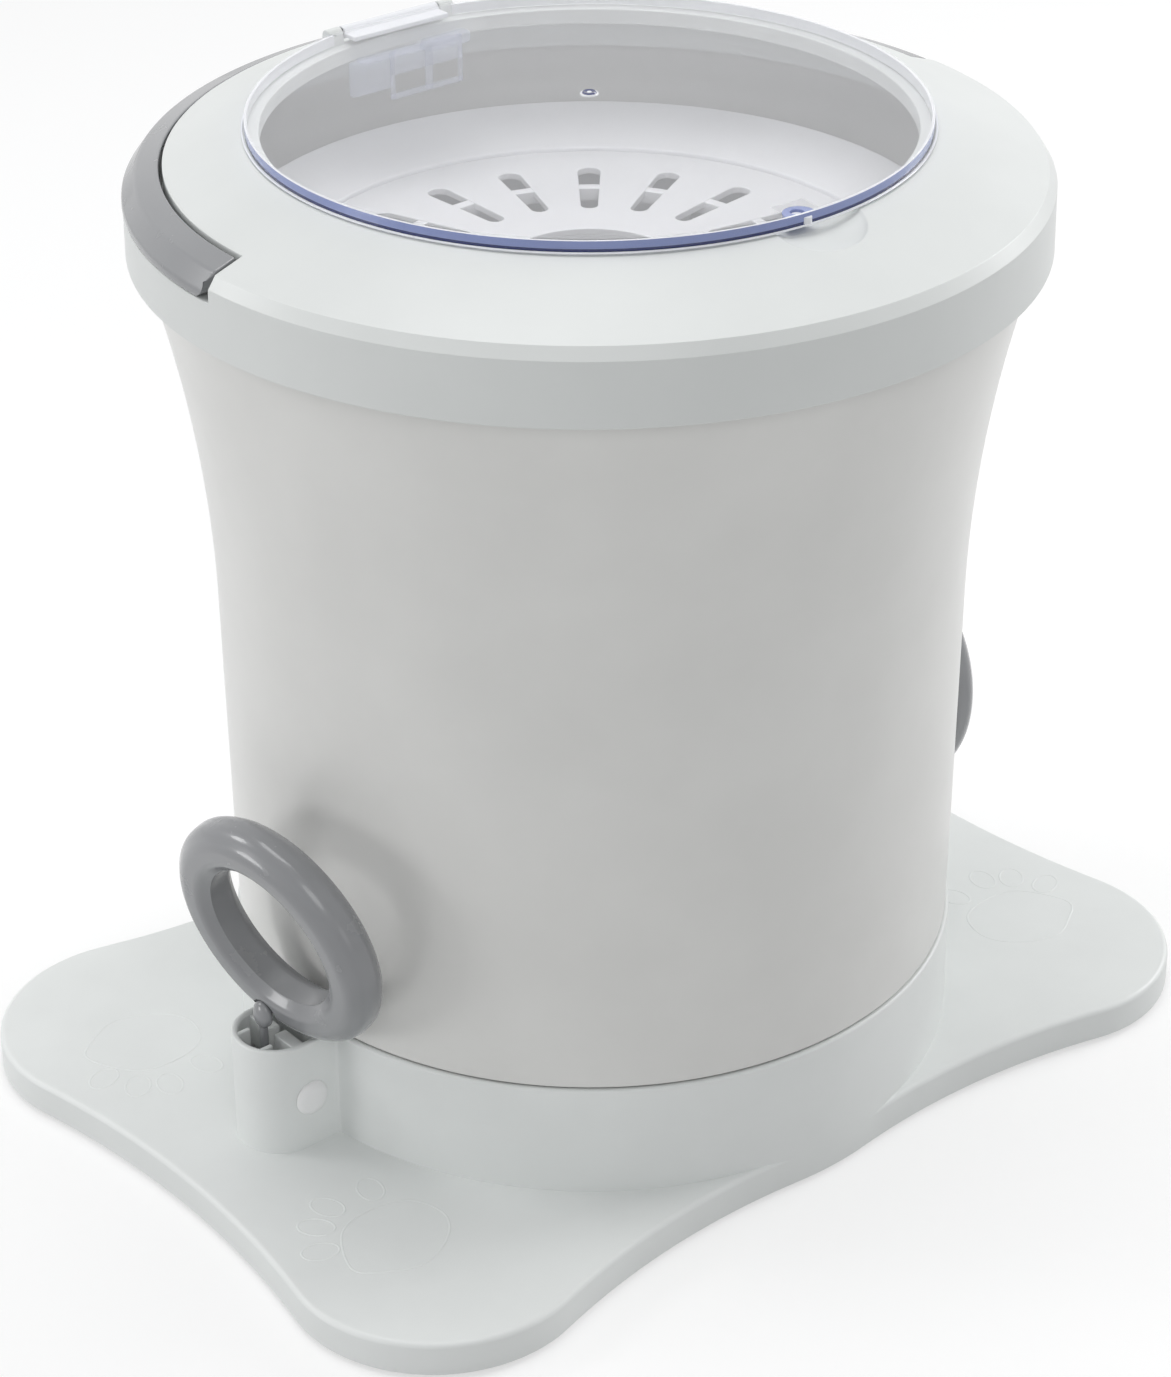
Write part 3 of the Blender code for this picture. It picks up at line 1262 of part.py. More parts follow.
def make_clear_lid():
    """Builds the clear domed lid with its edge flange, inner skirt, finger tab and hinge knuckle."""
    dome_r = LID_R - LID_FLANGE
    dome_edge = LID_BASE + DOME_EDGE_RISE
    profile = [(0.0, DOME_TOP)]
    inside = [(0.0, DOME_TOP - DOME_THICK)]
    for step in range(1, DOME_STEPS + 1):
        share = step / DOME_STEPS
        drop = (DOME_TOP - dome_edge) * share**2
        profile.append((dome_r * share, DOME_TOP - drop))
        inside.append(((LID_SKIRT_R - LID_SKIRT_WALL) * share, DOME_TOP - DOME_THICK - drop))
    skirt_in = LID_SKIRT_R - LID_SKIRT_WALL
    bottom = LID_BASE - LID_SKIRT_DROP
    profile += [
        (LID_R - 0.2 * LID_FLANGE, LID_BASE + LID_EDGE + 0.1 * LID_EDGE),
        (LID_R, LID_BASE + 0.9 * LID_EDGE),
        (LID_R, LID_BASE),
        (LID_SKIRT_R, LID_BASE),
        (LID_SKIRT_R, bottom),
        (skirt_in, bottom),
    ]
    lid = turned("clear_lid", profile + inside[::-1], ROUND_STEPS, -COVER_TURN)
    low = (-HINGE_RELIEF_HALF, LID_CHORD_Y, LID_BASE - OVERRUN)
    high = (HINGE_RELIEF_HALF, LID_R + OVERRUN, DOME_TOP)
    cut(lid, box("chord", low, high))
    low = (-HINGE_RELIEF_HALF, 0.5 * LID_R, bottom - OVERRUN)
    cut(lid, box("relief", low, (HINGE_RELIEF_HALF, LID_R, LID_BASE)))
    join(lid, make_lid_knuckle())
    nub_low = (0.0, 0.0, DOME_TOP - NUB_HEIGHT)
    join(lid, rod("nub", nub_low, (0.0, 0.0, DOME_TOP + NUB_HEIGHT), NUB_R, FINE_STEPS))
    half = 0.5 * TAB_WIDTH
    tab_outer = -THROAT_R + 2.0 * RUN_GAP + LID_SKIRT_WALL
    low = (TAB_X - half, tab_outer, LID_BASE - TAB_DROP)
    return join(lid, box("tab", low, (TAB_X + half, TAB_INNER_Y, LID_BASE + 0.5 * LID_EDGE)))


def make_lid_knuckle():
    """Returns the lid's long hinge knuckle with its bore and the web that ties it to the lid."""
    half = HINGE_LID_HALF
    knuckle = rod("knuckle", (-half, HINGE_Y, HINGE_Z), (half, HINGE_Y, HINGE_Z), HINGE_BARREL_R)
    web = 0.5 * HINGE_BARREL_R
    low = (-half, LID_CHORD_Y - LID_FLANGE, HINGE_Z - web)
    join(knuckle, box("web", low, (half, HINGE_Y, HINGE_Z + 0.5 * web)))
    reach = half + OVERRUN
    bore = HINGE_PIN_R + SEAT_GAP
    return cut(knuckle, rod("bore", (-reach, HINGE_Y, HINGE_Z), (reach, HINGE_Y, HINGE_Z), bore, FINE_STEPS))


def make_hinge_pin():
    reach = HINGE_LID_HALF + HINGE_GAP + 0.8 * HINGE_EAR_WIDTH - SEAT_GAP
    left_end = (-reach, HINGE_Y, HINGE_Z)
    return rod("lid_hinge_pin", left_end, (reach, HINGE_Y, HINGE_Z), HINGE_PIN_R, FINE_STEPS)


def with_cover(item):
    """Turns a piece with the round cover, which stands turned a little on the tub.

    Its round shapes start as far the other way, so that their facets stay in line with the tub's.
    """
    item.data.transform(Matrix.Rotation(COVER_TURN, 4, "Z"))
    return item


def place_with_cover(point):
    return tuple(Matrix.Rotation(COVER_TURN, 3, "Z") @ Vector(point))


def put_origin(item, point):
    """Moves an object's origin to a point and leaves its shape where it is."""
    if item.type == "MESH":
        item.data.transform(Matrix.Translation(-Vector(point)))
        item.location = point


def finish(item, material, origin=(0.0, 0.0, 0.0)):
    """Sets an object's material, shading and origin."""
    item.data.materials.clear()
    item.data.materials.append(material)
    if item.type == "MESH":
        item.data.shade_smooth()
        item.data.set_sharp_from_angle(angle=math.radians(35.0))
    put_origin(item, origin)


def build():
    """Builds every piece of the washing machine."""
    clear_scene()
    white = make_material("white_plastic", WHITE, 0.35)
    pale = make_material("pale_grey_plastic", PALE_GREY, 0.38)
    grey = make_material("grey_plastic", MID_GREY, 0.36)
    clear = make_material("clear_plastic", CLEAR_BLUE, 0.05, 0.0, 0.35)
    steel = make_material("steel", STEEL, 0.3, 1.0)
    rubber = make_material("rubber", BLACK, 0.8)
    cord = make_material("cord", CORD_WHITE, 0.8)

    axis = (0.0, 0.0, CORD_Z)
    finish(make_base_plate(), pale)
    finish(make_bottom_cover(), pale)
    for index, place in enumerate(screw_places()):
        screw = make_screw("base_screw_%d" % (index + 1))
        screw.data.transform(Matrix.Translation((*place, 0.0)))
        finish(screw, steel, (*place, 0.0))
    finish(make_spring_housing(), grey)
    finish(make_centre_axle(), steel)
    finish(make_return_spring(), steel)
    finish(make_rope_wheel(), white, axis)
    for side, hand in SIDES:
        for facing, end in ENDS:
            finish(make_foot(side * LOBE_X, facing * LOBE_Y, "foot_%s_%s" % (hand, end)), rubber)
            finish(make_axle_cap(side, facing, "axle_cap_%s_%s" % (hand, end)), white)
        pulley_axis = (side * PULLEY_X, 0.0, PULLEY_Z)
        ball_center = (side * CORD_X, 0.0, LUG_BALL_Z)
        finish(make_pulley(side, "pulley_" + hand), white, pulley_axis)
        finish(make_pulley_axle(side, "pulley_axle_" + hand), steel, pulley_axis)
        finish(make_wound_cord(side, "wound_cord_" + hand), cord, axis)
        finish(make_cord("cord_run_" + hand, cord_route(side)), cord)
        finish(make_cord_riser(side, "cord_riser_" + hand), cord, (side * CORD_X, 0.0, PULLEY_Z))
        finish(make_cord_lug(side, "cord_lug_" + hand), grey, ball_center)
        finish(make_pull_ring(side, hand, "pull_ring_" + hand), grey, ball_center)
    finish(make_tub(), pale)
    finish(make_tub_bush(), white)
    finish(make_shaft_seal(), rubber)
    finish(make_spindle(), steel)
    finish(make_drive_cup(), white)
    finish(make_spin_basket(), white)
    finish(make_hub_nut(), white)
    finish(make_funnel_ring(), white)
    finish(make_basket_lid(), white)
    finish(with_cover(make_top_cover()), white)
    pivot = place_with_cover((0.0, HANDLE_PIVOT_Y, HANDLE_PIVOT_Z))
    finish(with_cover(make_carry_handle()), grey, pivot)
    for side, hand in SIDES:
        finish(with_cover(make_handle_pin(side, "handle_pin_" + hand)), steel, pivot)
    hinge = place_with_cover((0.0, HINGE_Y, HINGE_Z))
    finish(with_cover(make_clear_lid()), clear, hinge)
    finish(with_cover(make_hinge_pin()), steel, hinge)


build()
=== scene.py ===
"""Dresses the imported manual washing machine: fine shells, plastics, cords, camera and light."""

from math import acos, asin, atan2, copysign, cos, dist, hypot, pi, radians, sin, sqrt, tan

import bmesh
import bpy
from mathutils import Matrix, Vector


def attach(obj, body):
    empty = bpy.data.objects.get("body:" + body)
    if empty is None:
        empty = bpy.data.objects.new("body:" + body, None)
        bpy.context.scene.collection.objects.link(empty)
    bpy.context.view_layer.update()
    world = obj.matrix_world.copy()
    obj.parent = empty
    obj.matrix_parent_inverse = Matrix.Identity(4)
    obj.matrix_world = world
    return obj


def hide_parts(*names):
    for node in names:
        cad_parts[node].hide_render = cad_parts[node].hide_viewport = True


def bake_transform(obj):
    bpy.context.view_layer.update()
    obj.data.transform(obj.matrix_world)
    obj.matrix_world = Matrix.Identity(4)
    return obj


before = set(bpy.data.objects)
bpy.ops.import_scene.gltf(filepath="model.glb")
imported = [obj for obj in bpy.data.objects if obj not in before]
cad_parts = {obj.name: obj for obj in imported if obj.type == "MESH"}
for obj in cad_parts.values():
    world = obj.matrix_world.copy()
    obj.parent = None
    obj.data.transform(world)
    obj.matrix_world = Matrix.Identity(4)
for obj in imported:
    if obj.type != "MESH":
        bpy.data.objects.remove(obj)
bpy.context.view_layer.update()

MM = 0.001
TURN = 2.0 * pi
QUARTER = 0.5 * pi
SIDES = ((-1.0, "left"), (1.0, "right"))

# The cover's turn on the tub, and the sizes, in millimetres, that more than one piece takes.
COVER_TURN = radians(-1.65)
CORD_X = 149.4
DRUM_R = 24.0
KNOB_Z = 64.7
PULLEY_X = 141.4
PULLEY_Z = 34.3
RIM_FOOT_Z = 315.7
HINGE_Y = 113.0
HINGE_Z = 358.6


def placed(name, data):
    """Returns a new object in the scene."""
    item = bpy.data.objects.new(name, data)
    bpy.context.scene.collection.objects.link(item)
    return item


# Camera

IMAGE = (1171.0, 1377.0)
FOCUS_PIXELS = 3704.8
CENTRE_PIXEL = (591.69, 626.20)
SENSOR_WIDTH = 36.0
NEAREST, FARTHEST = 0.01, 60.0
AIM = Vector((0.0, 0.0, 0.164))
DISTANCE = 1.3168
AZIMUTH = radians(-40.15)
ELEVATION = radians(28.716)
ROLL = radians(-0.257)


def level_directions():
    """Returns the level directions to the right and away, as the camera sees them."""
    across = Vector((cos(AZIMUTH), sin(AZIMUTH), 0.0))
    away = Vector((-sin(AZIMUTH), cos(AZIMUTH), 0.0))
    return across, away


def make_camera():
    across, away = level_directions()
    forward = away * cos(ELEVATION) - Vector((0.0, 0.0, sin(ELEVATION)))
    upward = away * sin(ELEVATION) + Vector((0.0, 0.0, cos(ELEVATION)))
    right = across * cos(ROLL) + upward * sin(ROLL)
    top = upward * cos(ROLL) - across * sin(ROLL)
    data = bpy.data.cameras.new("camera")
    longest = max(IMAGE)
    data.sensor_width = SENSOR_WIDTH
    data.lens = FOCUS_PIXELS / longest * SENSOR_WIDTH
    data.shift_x = (0.5 * IMAGE[0] - CENTRE_PIXEL[0]) / longest
    data.shift_y = (CENTRE_PIXEL[1] - 0.5 * IMAGE[1]) / longest
    data.clip_start = NEAREST
    data.clip_end = FARTHEST
    camera = placed("camera", data)
    turn = Matrix((right, top, -forward)).transposed().to_4x4()
    camera.matrix_world = Matrix.Translation(AIM - forward * DISTANCE) @ turn
    bpy.context.scene.camera = camera


make_camera()


# Materials


def linear(color):
    return tuple(c / 12.92 if c <= 0.04045 else ((c + 0.055) / 1.055) ** 2.4 for c in color)


def node(tree, kind, **values):
    made = tree.nodes.new(kind)
    for key, value in values.items():
        setattr(made, key, value)
    return made


def put(item, **values):
    """Sets a node's inputs, whose names have a low line here for each space."""
    for name, value in values.items():
        item.inputs[name.replace("_", " ")].default_value = value


def noise(tree, where, scale, detail=3.0, roughness=0.5):
    made = node(tree, "ShaderNodeTexNoise")
    put(made, Scale=scale, Detail=detail, Roughness=roughness)
    tree.links.new(where, made.inputs["Vector"])
    return made.outputs["Fac"]


def spread(tree, source, low, high, start=0.3, end=0.7):
    made = node(tree, "ShaderNodeMapRange")
    put(made, From_Min=start, From_Max=end, To_Min=low, To_Max=high)
    tree.links.new(source, made.inputs["Value"])
    return made.outputs["Result"]


def blend_color(tree, factor, first, second):
    made = node(tree, "ShaderNodeMix", data_type="RGBA")
    tree.links.new(factor, made.inputs[0])
    made.inputs[6].default_value = (*first, 1.0)
    made.inputs[7].default_value = (*second, 1.0)
    return made.outputs[2]


def bump(tree, height, distance, strength):
    made = node(tree, "ShaderNodeBump")
    put(made, Strength=strength, Distance=distance)
    tree.links.new(height, made.inputs["Height"])
    return made.outputs["Normal"]


def surface(name):
    """Returns a new material, its node tree, its shader and the object's own coordinates."""
    material = bpy.data.materials.new(name)
    material.use_nodes = True
    tree = material.node_tree
    return material, tree, tree.nodes["Principled BSDF"], node(tree, "ShaderNodeTexCoord").outputs["Object"]


def join(tree, shader, rough, normal, color=None):
    tree.links.new(rough, shader.inputs["Roughness"])
    tree.links.new(normal, shader.inputs["Normal"])
    if color is not None:
        tree.links.new(color, shader.inputs["Base Color"])


def plastic(name, color, roughness, grain, variation=0.006, coat=0.0):
    """A moulded plastic: slight cloudiness of the pigment, uneven gloss and a fine moulded skin."""
    material, tree, shader, where = surface(name)
    cloud = spread(tree, noise(tree, where, scale=22.0, detail=4.0), low=0.0, high=1.0, start=0.35, end=0.65)
    low = linear([max(c - variation, 0.0) for c in color])
    high = linear([min(c + variation, 1.0) for c in color])
    patch = noise(tree, where, scale=75.0, detail=5.0, roughness=0.6)
    rough = spread(tree, patch, low=roughness - 0.015, high=roughness + 0.02)
    skin = bump(tree, noise(tree, where, scale=620.0, detail=2.0), distance=0.000003, strength=grain)
    join(tree, shader, rough, skin, blend_color(tree, cloud, low, high))
    put(shader, IOR=1.49, Coat_Weight=coat, Coat_Roughness=0.06)
    return material


def clear(name, color, roughness, alpha, haze=0.0):
    """A clear moulded plastic: a body that bends no light under a glossy coat, with faint flow lines."""
    material, tree, shader, where = surface(name)
    patch = noise(tree, where, scale=60.0, detail=4.0)
    waves = noise(tree, where, scale=18.0, detail=1.0, roughness=0.3)
    skin = bump(tree, waves, distance=0.0004, strength=0.06)
    join(tree, shader, spread(tree, patch, low=roughness, high=roughness + 0.02), skin)
    put(shader, Base_Color=(*linear(color), 1.0), Transmission_Weight=1.0 - haze, IOR=1.0, Alpha=alpha)
    put(shader, Coat_Weight=1.0, Coat_IOR=1.5, Coat_Roughness=0.02)
    return material


def brushed_steel(name):
    material, tree, shader, where = surface(name)
    cloud = noise(tree, where, scale=90.0, detail=4.0)
    tint = blend_color(tree, cloud, linear((0.70, 0.70, 0.71)), linear((0.80, 0.80, 0.80)))
    brush = noise(tree, where, scale=700.0)
    skin = bump(tree, noise(tree, where, scale=1500.0, detail=2.0), distance=0.00003, strength=0.4)
    join(tree, shader, spread(tree, brush, low=0.22, high=0.36), skin, tint)
    put(shader, Metallic=1.0)
    return material


def soft(name, dark, light, cloud, gloss, grain, strength, sheen):
    """Rubber or cord: clouds of (scale, roughness) over a fine grain of (scale, height), with some sheen."""
    material, tree, shader, where = surface(name)
    clouds = noise(tree, where, scale=cloud[0], detail=4.0, roughness=cloud[1])
    skin = bump(tree, noise(tree, where, scale=grain[0]), distance=grain[1], strength=strength)
    tint = blend_color(tree, clouds, linear(dark), linear(light))
    join(tree, shader, spread(tree, clouds, low=gloss[0], high=gloss[1]), skin, tint)
    put(shader, Sheen_Weight=sheen)
    return material


COVER = plastic("cover_white", (0.875, 0.885, 0.88), roughness=0.36, grain=0.30)
TUB = plastic("tub_shell", (0.885, 0.884, 0.874), roughness=0.30, grain=0.18, variation=0.008)
PLATE = plastic("plate_shell", (0.92, 0.93, 0.925), roughness=0.38, grain=0.35, variation=0.008)
INNER = plastic("basket_white", (0.98, 0.98, 0.99), roughness=0.33, grain=0.30)
GREY = plastic("grey_moulding", (0.548, 0.553, 0.563), roughness=0.26, grain=0.04, coat=0.4)
BUTTON = plastic("cap_white", (0.97, 0.97, 0.97), roughness=0.30, grain=0.20)
DARK_GREY = plastic("housing_grey", (0.50, 0.51, 0.52), roughness=0.42, grain=0.5, variation=0.015)
RIM = plastic("rim_blue", (0.527, 0.576, 0.768), roughness=0.22, grain=0.10, variation=0.008, coat=0.5)
# Navy on the grommet, and painted gap shade along the lid band's lower edge, where the wall meets the cover.
NAVY_AND_GAP_SHADE = plastic("rim_navy_and_painted_gap_shade", (0.19, 0.22, 0.41), roughness=0.22, grain=0.10, variation=0.008, coat=0.5)
# Frosted white for the hinge barrel and the grommet; on the lid band, the lid's foot flange and the latch
# pegs it is a painted highlight, the bright lines and glints there.
FROST_AND_GLINT = plastic("rim_frost_and_painted_glint", (0.93, 0.935, 0.95), roughness=0.30, grain=0.10, coat=0.5)
DOME = clear("clear_dome", (0.965, 0.967, 0.98), roughness=0.01, alpha=0.40, haze=0.70)
DOME_INSIDE = clear("clear_dome_inside", (0.985, 0.988, 0.995), roughness=0.01, alpha=0.07)
BLOCK = clear("clear_block", (0.90, 0.92, 0.985), roughness=0.03, alpha=0.42, haze=0.5)
STEEL = brushed_steel("steel")
RUBBER = soft("rubber", (0.16, 0.16, 0.165), (0.22, 0.22, 0.22), cloud=(120.0, 0.5),
              gloss=(0.62, 0.8), grain=(1400.0, 0.00006), strength=0.6, sheen=0.15)
CORD = soft("cord", (0.80, 0.80, 0.78), (0.93, 0.93, 0.91), cloud=(1400.0, 0.7),
            gloss=(0.68, 0.86), grain=(4200.0, 0.00008), strength=0.7, sheen=0.4)


# Mesh helpers


def quarter(steps):
    """Returns the even steps of a quarter turn."""
    return [QUARTER * k / steps for k in range(steps + 1)]


def arc(center, radius, first, last, steps):
    return [
        (center[0] + radius * cos(first + (last - first) * k / steps),
         center[1] + radius * sin(first + (last - first) * k / steps))
        for k in range(steps + 1)
    ]


def circle(radius, steps=128):
    return [(radius * cos(TURN * k / steps), radius * sin(TURN * k / steps)) for k in range(steps)]


def at(outline, height):
    return [(x, y, height) for x, y in outline]


STRAIGHT = radians(179.0)
LONGEST_FILLET = 0.48
LEAST_CORNER = 0.02
SAME_POINT, SHORTEST_EDGE = 1e-6, 1e-7


def rounded(points, radii, steps=6):
    """Returns a closed flat outline with a fillet at each corner that has a radius."""
    count = len(points)
    if not isinstance(radii, (list, tuple)):
        radii = [radii] * count
    result = []
    for k, (point, radius) in enumerate(zip(points, radii)):
        here = Vector(point)
        back = Vector(points[k - 1]) - here
        ahead = Vector(points[(k + 1) % count]) - here
        angle = back.angle(ahead)
        if radius <= 0.0 or angle > STRAIGHT:
            result.append(tuple(point))
            continue
        longest = LONGEST_FILLET * min(back.length, ahead.length)
        reach = min(radius / tan(0.5 * angle), longest)
        radius = reach * tan(0.5 * angle)
        back.normalize()
        ahead.normalize()
        middle = here + (back + ahead).normalized() * (radius / sin(0.5 * angle))
        start = here + back * reach - middle
        end = here + ahead * reach - middle
        first = atan2(start.y, start.x)
        sweep = atan2(start.x * end.y - start.y * end.x, start.dot(end))
        for step in range(steps + 1):
            turn = first + sweep * step / steps
            result.append((middle.x + radius * cos(turn), middle.y + radius * sin(turn)))
    return result


def rim_levels(low, high, bevel, steps=4):
    """Returns the (inset, height) levels of a wall that is rounded at its foot and top."""
    foot = [(bevel * (1.0 - sin(a)), low + bevel * (1.0 - cos(a))) for a in quarter(steps)]
    top = [(bevel * (1.0 - cos(a)), high - bevel * (1.0 - sin(a))) for a in quarter(steps)]
    return foot + top


class Shell:
    """Collects points, in millimetres, and faces of one piece."""

    def __init__(self):
        self.points = []
        self.faces = []
        self.marks = []

    def add(self, points, faces, mark=0):
        start = len(self.points)
        self.points += [tuple(p) for p in points]
        self.faces += [tuple(start + k for k in face) for face in faces]
        self.marks += [mark] * len(faces)
        return self

    def grid(self, rows, closed=False):
        """Adds faces between loops of points; a closed grid also joins the last loop to the first."""
        width = len(rows[0])
        faces = []
        for r in range(len(rows) if closed else len(rows) - 1):
            low = r * width
            high = (r + 1) % len(rows) * width
            for c in range(width):
                d = (c + 1) % width
                faces.append((low + c, low + d, high + d, high + c))
        return self.add([p for row in rows for p in row], faces)

    def capped(self, rows):
        """Adds a grid with a face over its first and its last row."""
        return self.grid(rows).cap(rows[0]).cap(rows[-1])

    def lathe(self, profile, steps, center=(0.0, 0.0)):
        """Turns a closed outline of (radius, height) round an upright axis."""
        turns = circle(1.0, steps)
        rows = [[(r * c + center[0], r * s + center[1], z) for r, z in profile] for c, s in turns]
        return self.grid(rows, closed=True)

    def block(self, low, high, bevel):
        """Adds a box with rounded upright edges and a rounded top and bottom rim."""
        x, y = 0.5 * (low[0] + high[0]), 0.5 * (low[1] + high[1])
        half_x, half_y = 0.5 * (high[0] - low[0]), 0.5 * (high[1] - low[1])
        rows = []
        for inset, height in rim_levels(low[2], high[2], bevel):
            hx, hy = half_x - inset, half_y - inset
            corner = max(bevel - inset, LEAST_CORNER)
            outline = rounded([(-hx, -hy), (hx, -hy), (hx, hy), (-hx, hy)], corner, 4)
            rows.append([(x + px, y + py, height) for px, py in outline])
        return self.capped(rows)

    def cap(self, row, mark=0):
        return self.add(row, [tuple(range(len(row)))], mark)

    def moved(self, matrix):
        self.points = [tuple(matrix @ Vector(p)) for p in self.points]
        return self

    def piece(self, name, *materials, sharp=30.0, weighted=True):
        mesh = bpy.data.meshes.new(name)
        mesh.from_pydata([(x * MM, y * MM, z * MM) for x, y, z in self.points], [], self.faces)
        for material in materials:
            mesh.materials.append(material)
        for face, mark in zip(mesh.polygons, self.marks):
            face.material_index = mark
        return piece_from(name, mesh, sharp, weighted)


def piece_from(name, mesh, sharp, weighted=True):
    work = bmesh.new()
    work.from_mesh(mesh)
    bmesh.ops.remove_doubles(work, verts=work.verts, dist=SAME_POINT)
    bmesh.ops.dissolve_degenerate(work, edges=work.edges, dist=SHORTEST_EDGE)
    bmesh.ops.recalc_face_normals(work, faces=work.faces)
    work.to_mesh(mesh)
    work.free()
    return even(placed(name, mesh), sharp, weighted)


def even(item, sharp, weighted=True):
    """Smooths a piece except at its sharp edges, with normals that follow its larger faces."""
    item.data.shade_smooth()
    item.data.set_sharp_from_angle(angle=radians(sharp))
    if weighted:
        modifier = item.modifiers.new("even_normals", "WEIGHTED_NORMAL")
        modifier.keep_sharp = True
        modifier.weight = 80
    return item


def final_mesh(item):
    graph = bpy.context.evaluated_depsgraph_get()
    graph.update()
    return bpy.data.meshes.new_from_object(item.evaluated_get(graph))


def drawn_in(point, middle, distance):
    """Returns a flat point moved towards the middle."""
    offset = Vector(point) - middle
    return middle + offset * max(0.0, 1.0 - distance / offset.length)


def cut_away(item, cutter):
    """Applies one exact boolean cut and removes the cutter."""
    modifier = item.modifiers.new("cut", "BOOLEAN")
    modifier.operation = "DIFFERENCE"
    modifier.solver = "EXACT"
    modifier.object = cutter
    mesh = final_mesh(item)
    item.modifiers.clear()
    old = item.data
    item.data = mesh
    bpy.data.meshes.remove(old)
    bpy.data.objects.remove(cutter)
    mesh.name = item.name


def dress(piece, body, slot, *nodes):
    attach(piece, body)
    if nodes:
        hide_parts(*nodes)


def with_cover(item):
    """Turns a piece with the cover, which stands turned a little on the tub."""
    item.data.transform(Matrix.Rotation(COVER_TURN, 4, "Z"))
    return item


def ball_cutter(center, radius):
    x, y, z = center
    rows = []
    for k in range(33):
        polar = pi * k / 32
        rise = radius * cos(polar)
        rows.append([(x + px, y + py, z + rise) for px, py in circle(radius * sin(polar), 64)])
    return Shell().grid(rows).piece("ball_cutter", weighted=False)


def box_cutter(low, high):
    corners = [(x, y, z) for x in (low[0], high[0]) for y in (low[1], high[1]) for z in (low[2], high[2])]
    faces = [(0, 1, 3, 2), (4, 6, 7, 5), (0, 4, 5, 1), (2, 3, 7, 6), (0, 2, 6, 4), (1, 5, 7, 3)]
    return Shell().add(corners, faces).piece("box_cutter", weighted=False)


# Base

FLOOR_GAP = 1.5
PLATE_TOP = 14.0
PLATE_WEB_Z = 11.0
PLATE_ROUND = 2.0
EDGE_WALL = 3.0
FACE_INSET = 2.8
HUB_R = 38.4
HUB_LIP = [(39.2, 0.0), (38.7, 0.0), (38.5, -0.1), (HUB_R, -0.4)]
LOBE = (142.6, 87.3)
LOBE_R = 53.3
WAIST_R = 131.0
SIDE_R = 286.5
END_R = 376.0
TRIM = 0.15
COLLAR_IN, COLLAR_OUT = 128.2, 130.85
COLLAR_FOOT_Z, COLLAR_TOP = 12.0, 56.0
SHELF_IN, SHELF_Z = 121.0, (35.0, 37.7)
BURIED_Z = 13.5
SOCKET_X, SOCKET_R, SOCKET_TOP = 144.4, 15.5, 57.0
SOCKET_FLAT = 129.5
SOCKET_FILLET = (131.3, 17.5, 2.0)
RIM_ROUND_OUT, RIM_ROUND_IN = 0.9, 1.15
POCKET_INSET = 2.3
POCKET_FLOOR = [(0.0, 15.0), (0.3, 14.3), (1.0, 14.05)]
GUIDE_BLOCKS = (((151.0, 156.3), (5.75, 7.45), (BURIED_Z, 56.0), 0.45),
                ((141.5, 146.4), (1.6, 13.4), (44.0, 55.6), 0.5))
SCREW_Y, END_SCREW_Y = 61.0, 112.0
SCREW_BOSS = [(1.9, 3.9), (4.0, 3.9), (4.0, 12.4), (1.9, 12.4)]
PAD_AT = (-150.0, -76.0)
PAD = [(-23.0, -3.5), (-14.0, 14.0), (0.0, 18.0), (14.0, 14.0), (19.0, 1.0), (13.0, -10.0), (-2.0, -17.0),
       (-15.0, -12.0)]
TOES = [(-175.5, -65.2), (-168.7, -53.6), (-159.2, -47.3), (-142.0, -48.9)]
TOE_AXES = (6.5, 4.5)
PRINT_WIDTH, PRINT_RISE, PRINT_SUNK = 0.9, 0.15, 0.05
CAP_PROFILE = [(0.0, 2.45), (2.2, 2.36), (4.0, 2.02), (5.1, 1.55), (5.9, 0.95), (6.35, 0.45), (6.5, 0.1),
               (6.5, -0.3), (0.0, -0.3)]
CAP_Y = 15.8


def side_center():
    gap = hypot(*LOBE)
    along = ((WAIST_R + SIDE_R) ** 2 - (LOBE_R + SIDE_R) ** 2 + gap**2) / (2.0 * gap)
    aside = sqrt((WAIST_R + SIDE_R) ** 2 - along**2)
    return (along * LOBE[0] - aside * LOBE[1]) / gap, (along * LOBE[1] + aside * LOBE[0]) / gap


def plate_outline(inset):
    inset += TRIM
    end = (LOBE[0] + sqrt((END_R + LOBE_R) ** 2 - LOBE[1] ** 2), 0.0)
    side = side_center()
    to_end = atan2(LOBE[1], LOBE[0] - end[0])
    lobe_last = atan2(side[1] - LOBE[1], side[0] - LOBE[0])
    side_first = atan2(LOBE[1] - side[1], LOBE[0] - side[0]) + TURN
    side_last = atan2(-side[1], -side[0]) + TURN
    part = arc(end, END_R + inset, pi, to_end, 16)
    part += arc(LOBE, LOBE_R - inset, to_end - pi, lobe_last, 34)[1:]
    part += arc(side, SIDE_R + inset, side_first, side_last, 20)[1:]
    part += arc((0.0, 0.0), WAIST_R - inset, atan2(side[1], side[0]), QUARTER, 12)[1:]
    left = [(-x, y) for x, y in reversed(part[:-1])]
    upper = part + left
    return upper + [(x, -y) for x, y in reversed(upper[1:-1])]


def fill_between(shell, outer, inner, height):
    """Adds a flat face ring between two loops that need not have the same count."""
    work = bmesh.new()
    loops = []
    for loop in (outer, inner):
        corners = [work.verts.new((x, y, 0.0)) for x, y in loop]
        loops += [work.edges.new((corners[k - 1], corners[k])) for k in range(len(corners))]
    bmesh.ops.triangle_fill(work, use_beauty=True, use_dissolve=False, edges=loops, normal=(0.0, 0.0, 1.0))
    work.verts.index_update()
    points = [(v.co.x, v.co.y, height) for v in work.verts]
    faces = [tuple(v.index for v in f.verts) for f in work.faces]
    work.free()
    shell.add(points, faces)


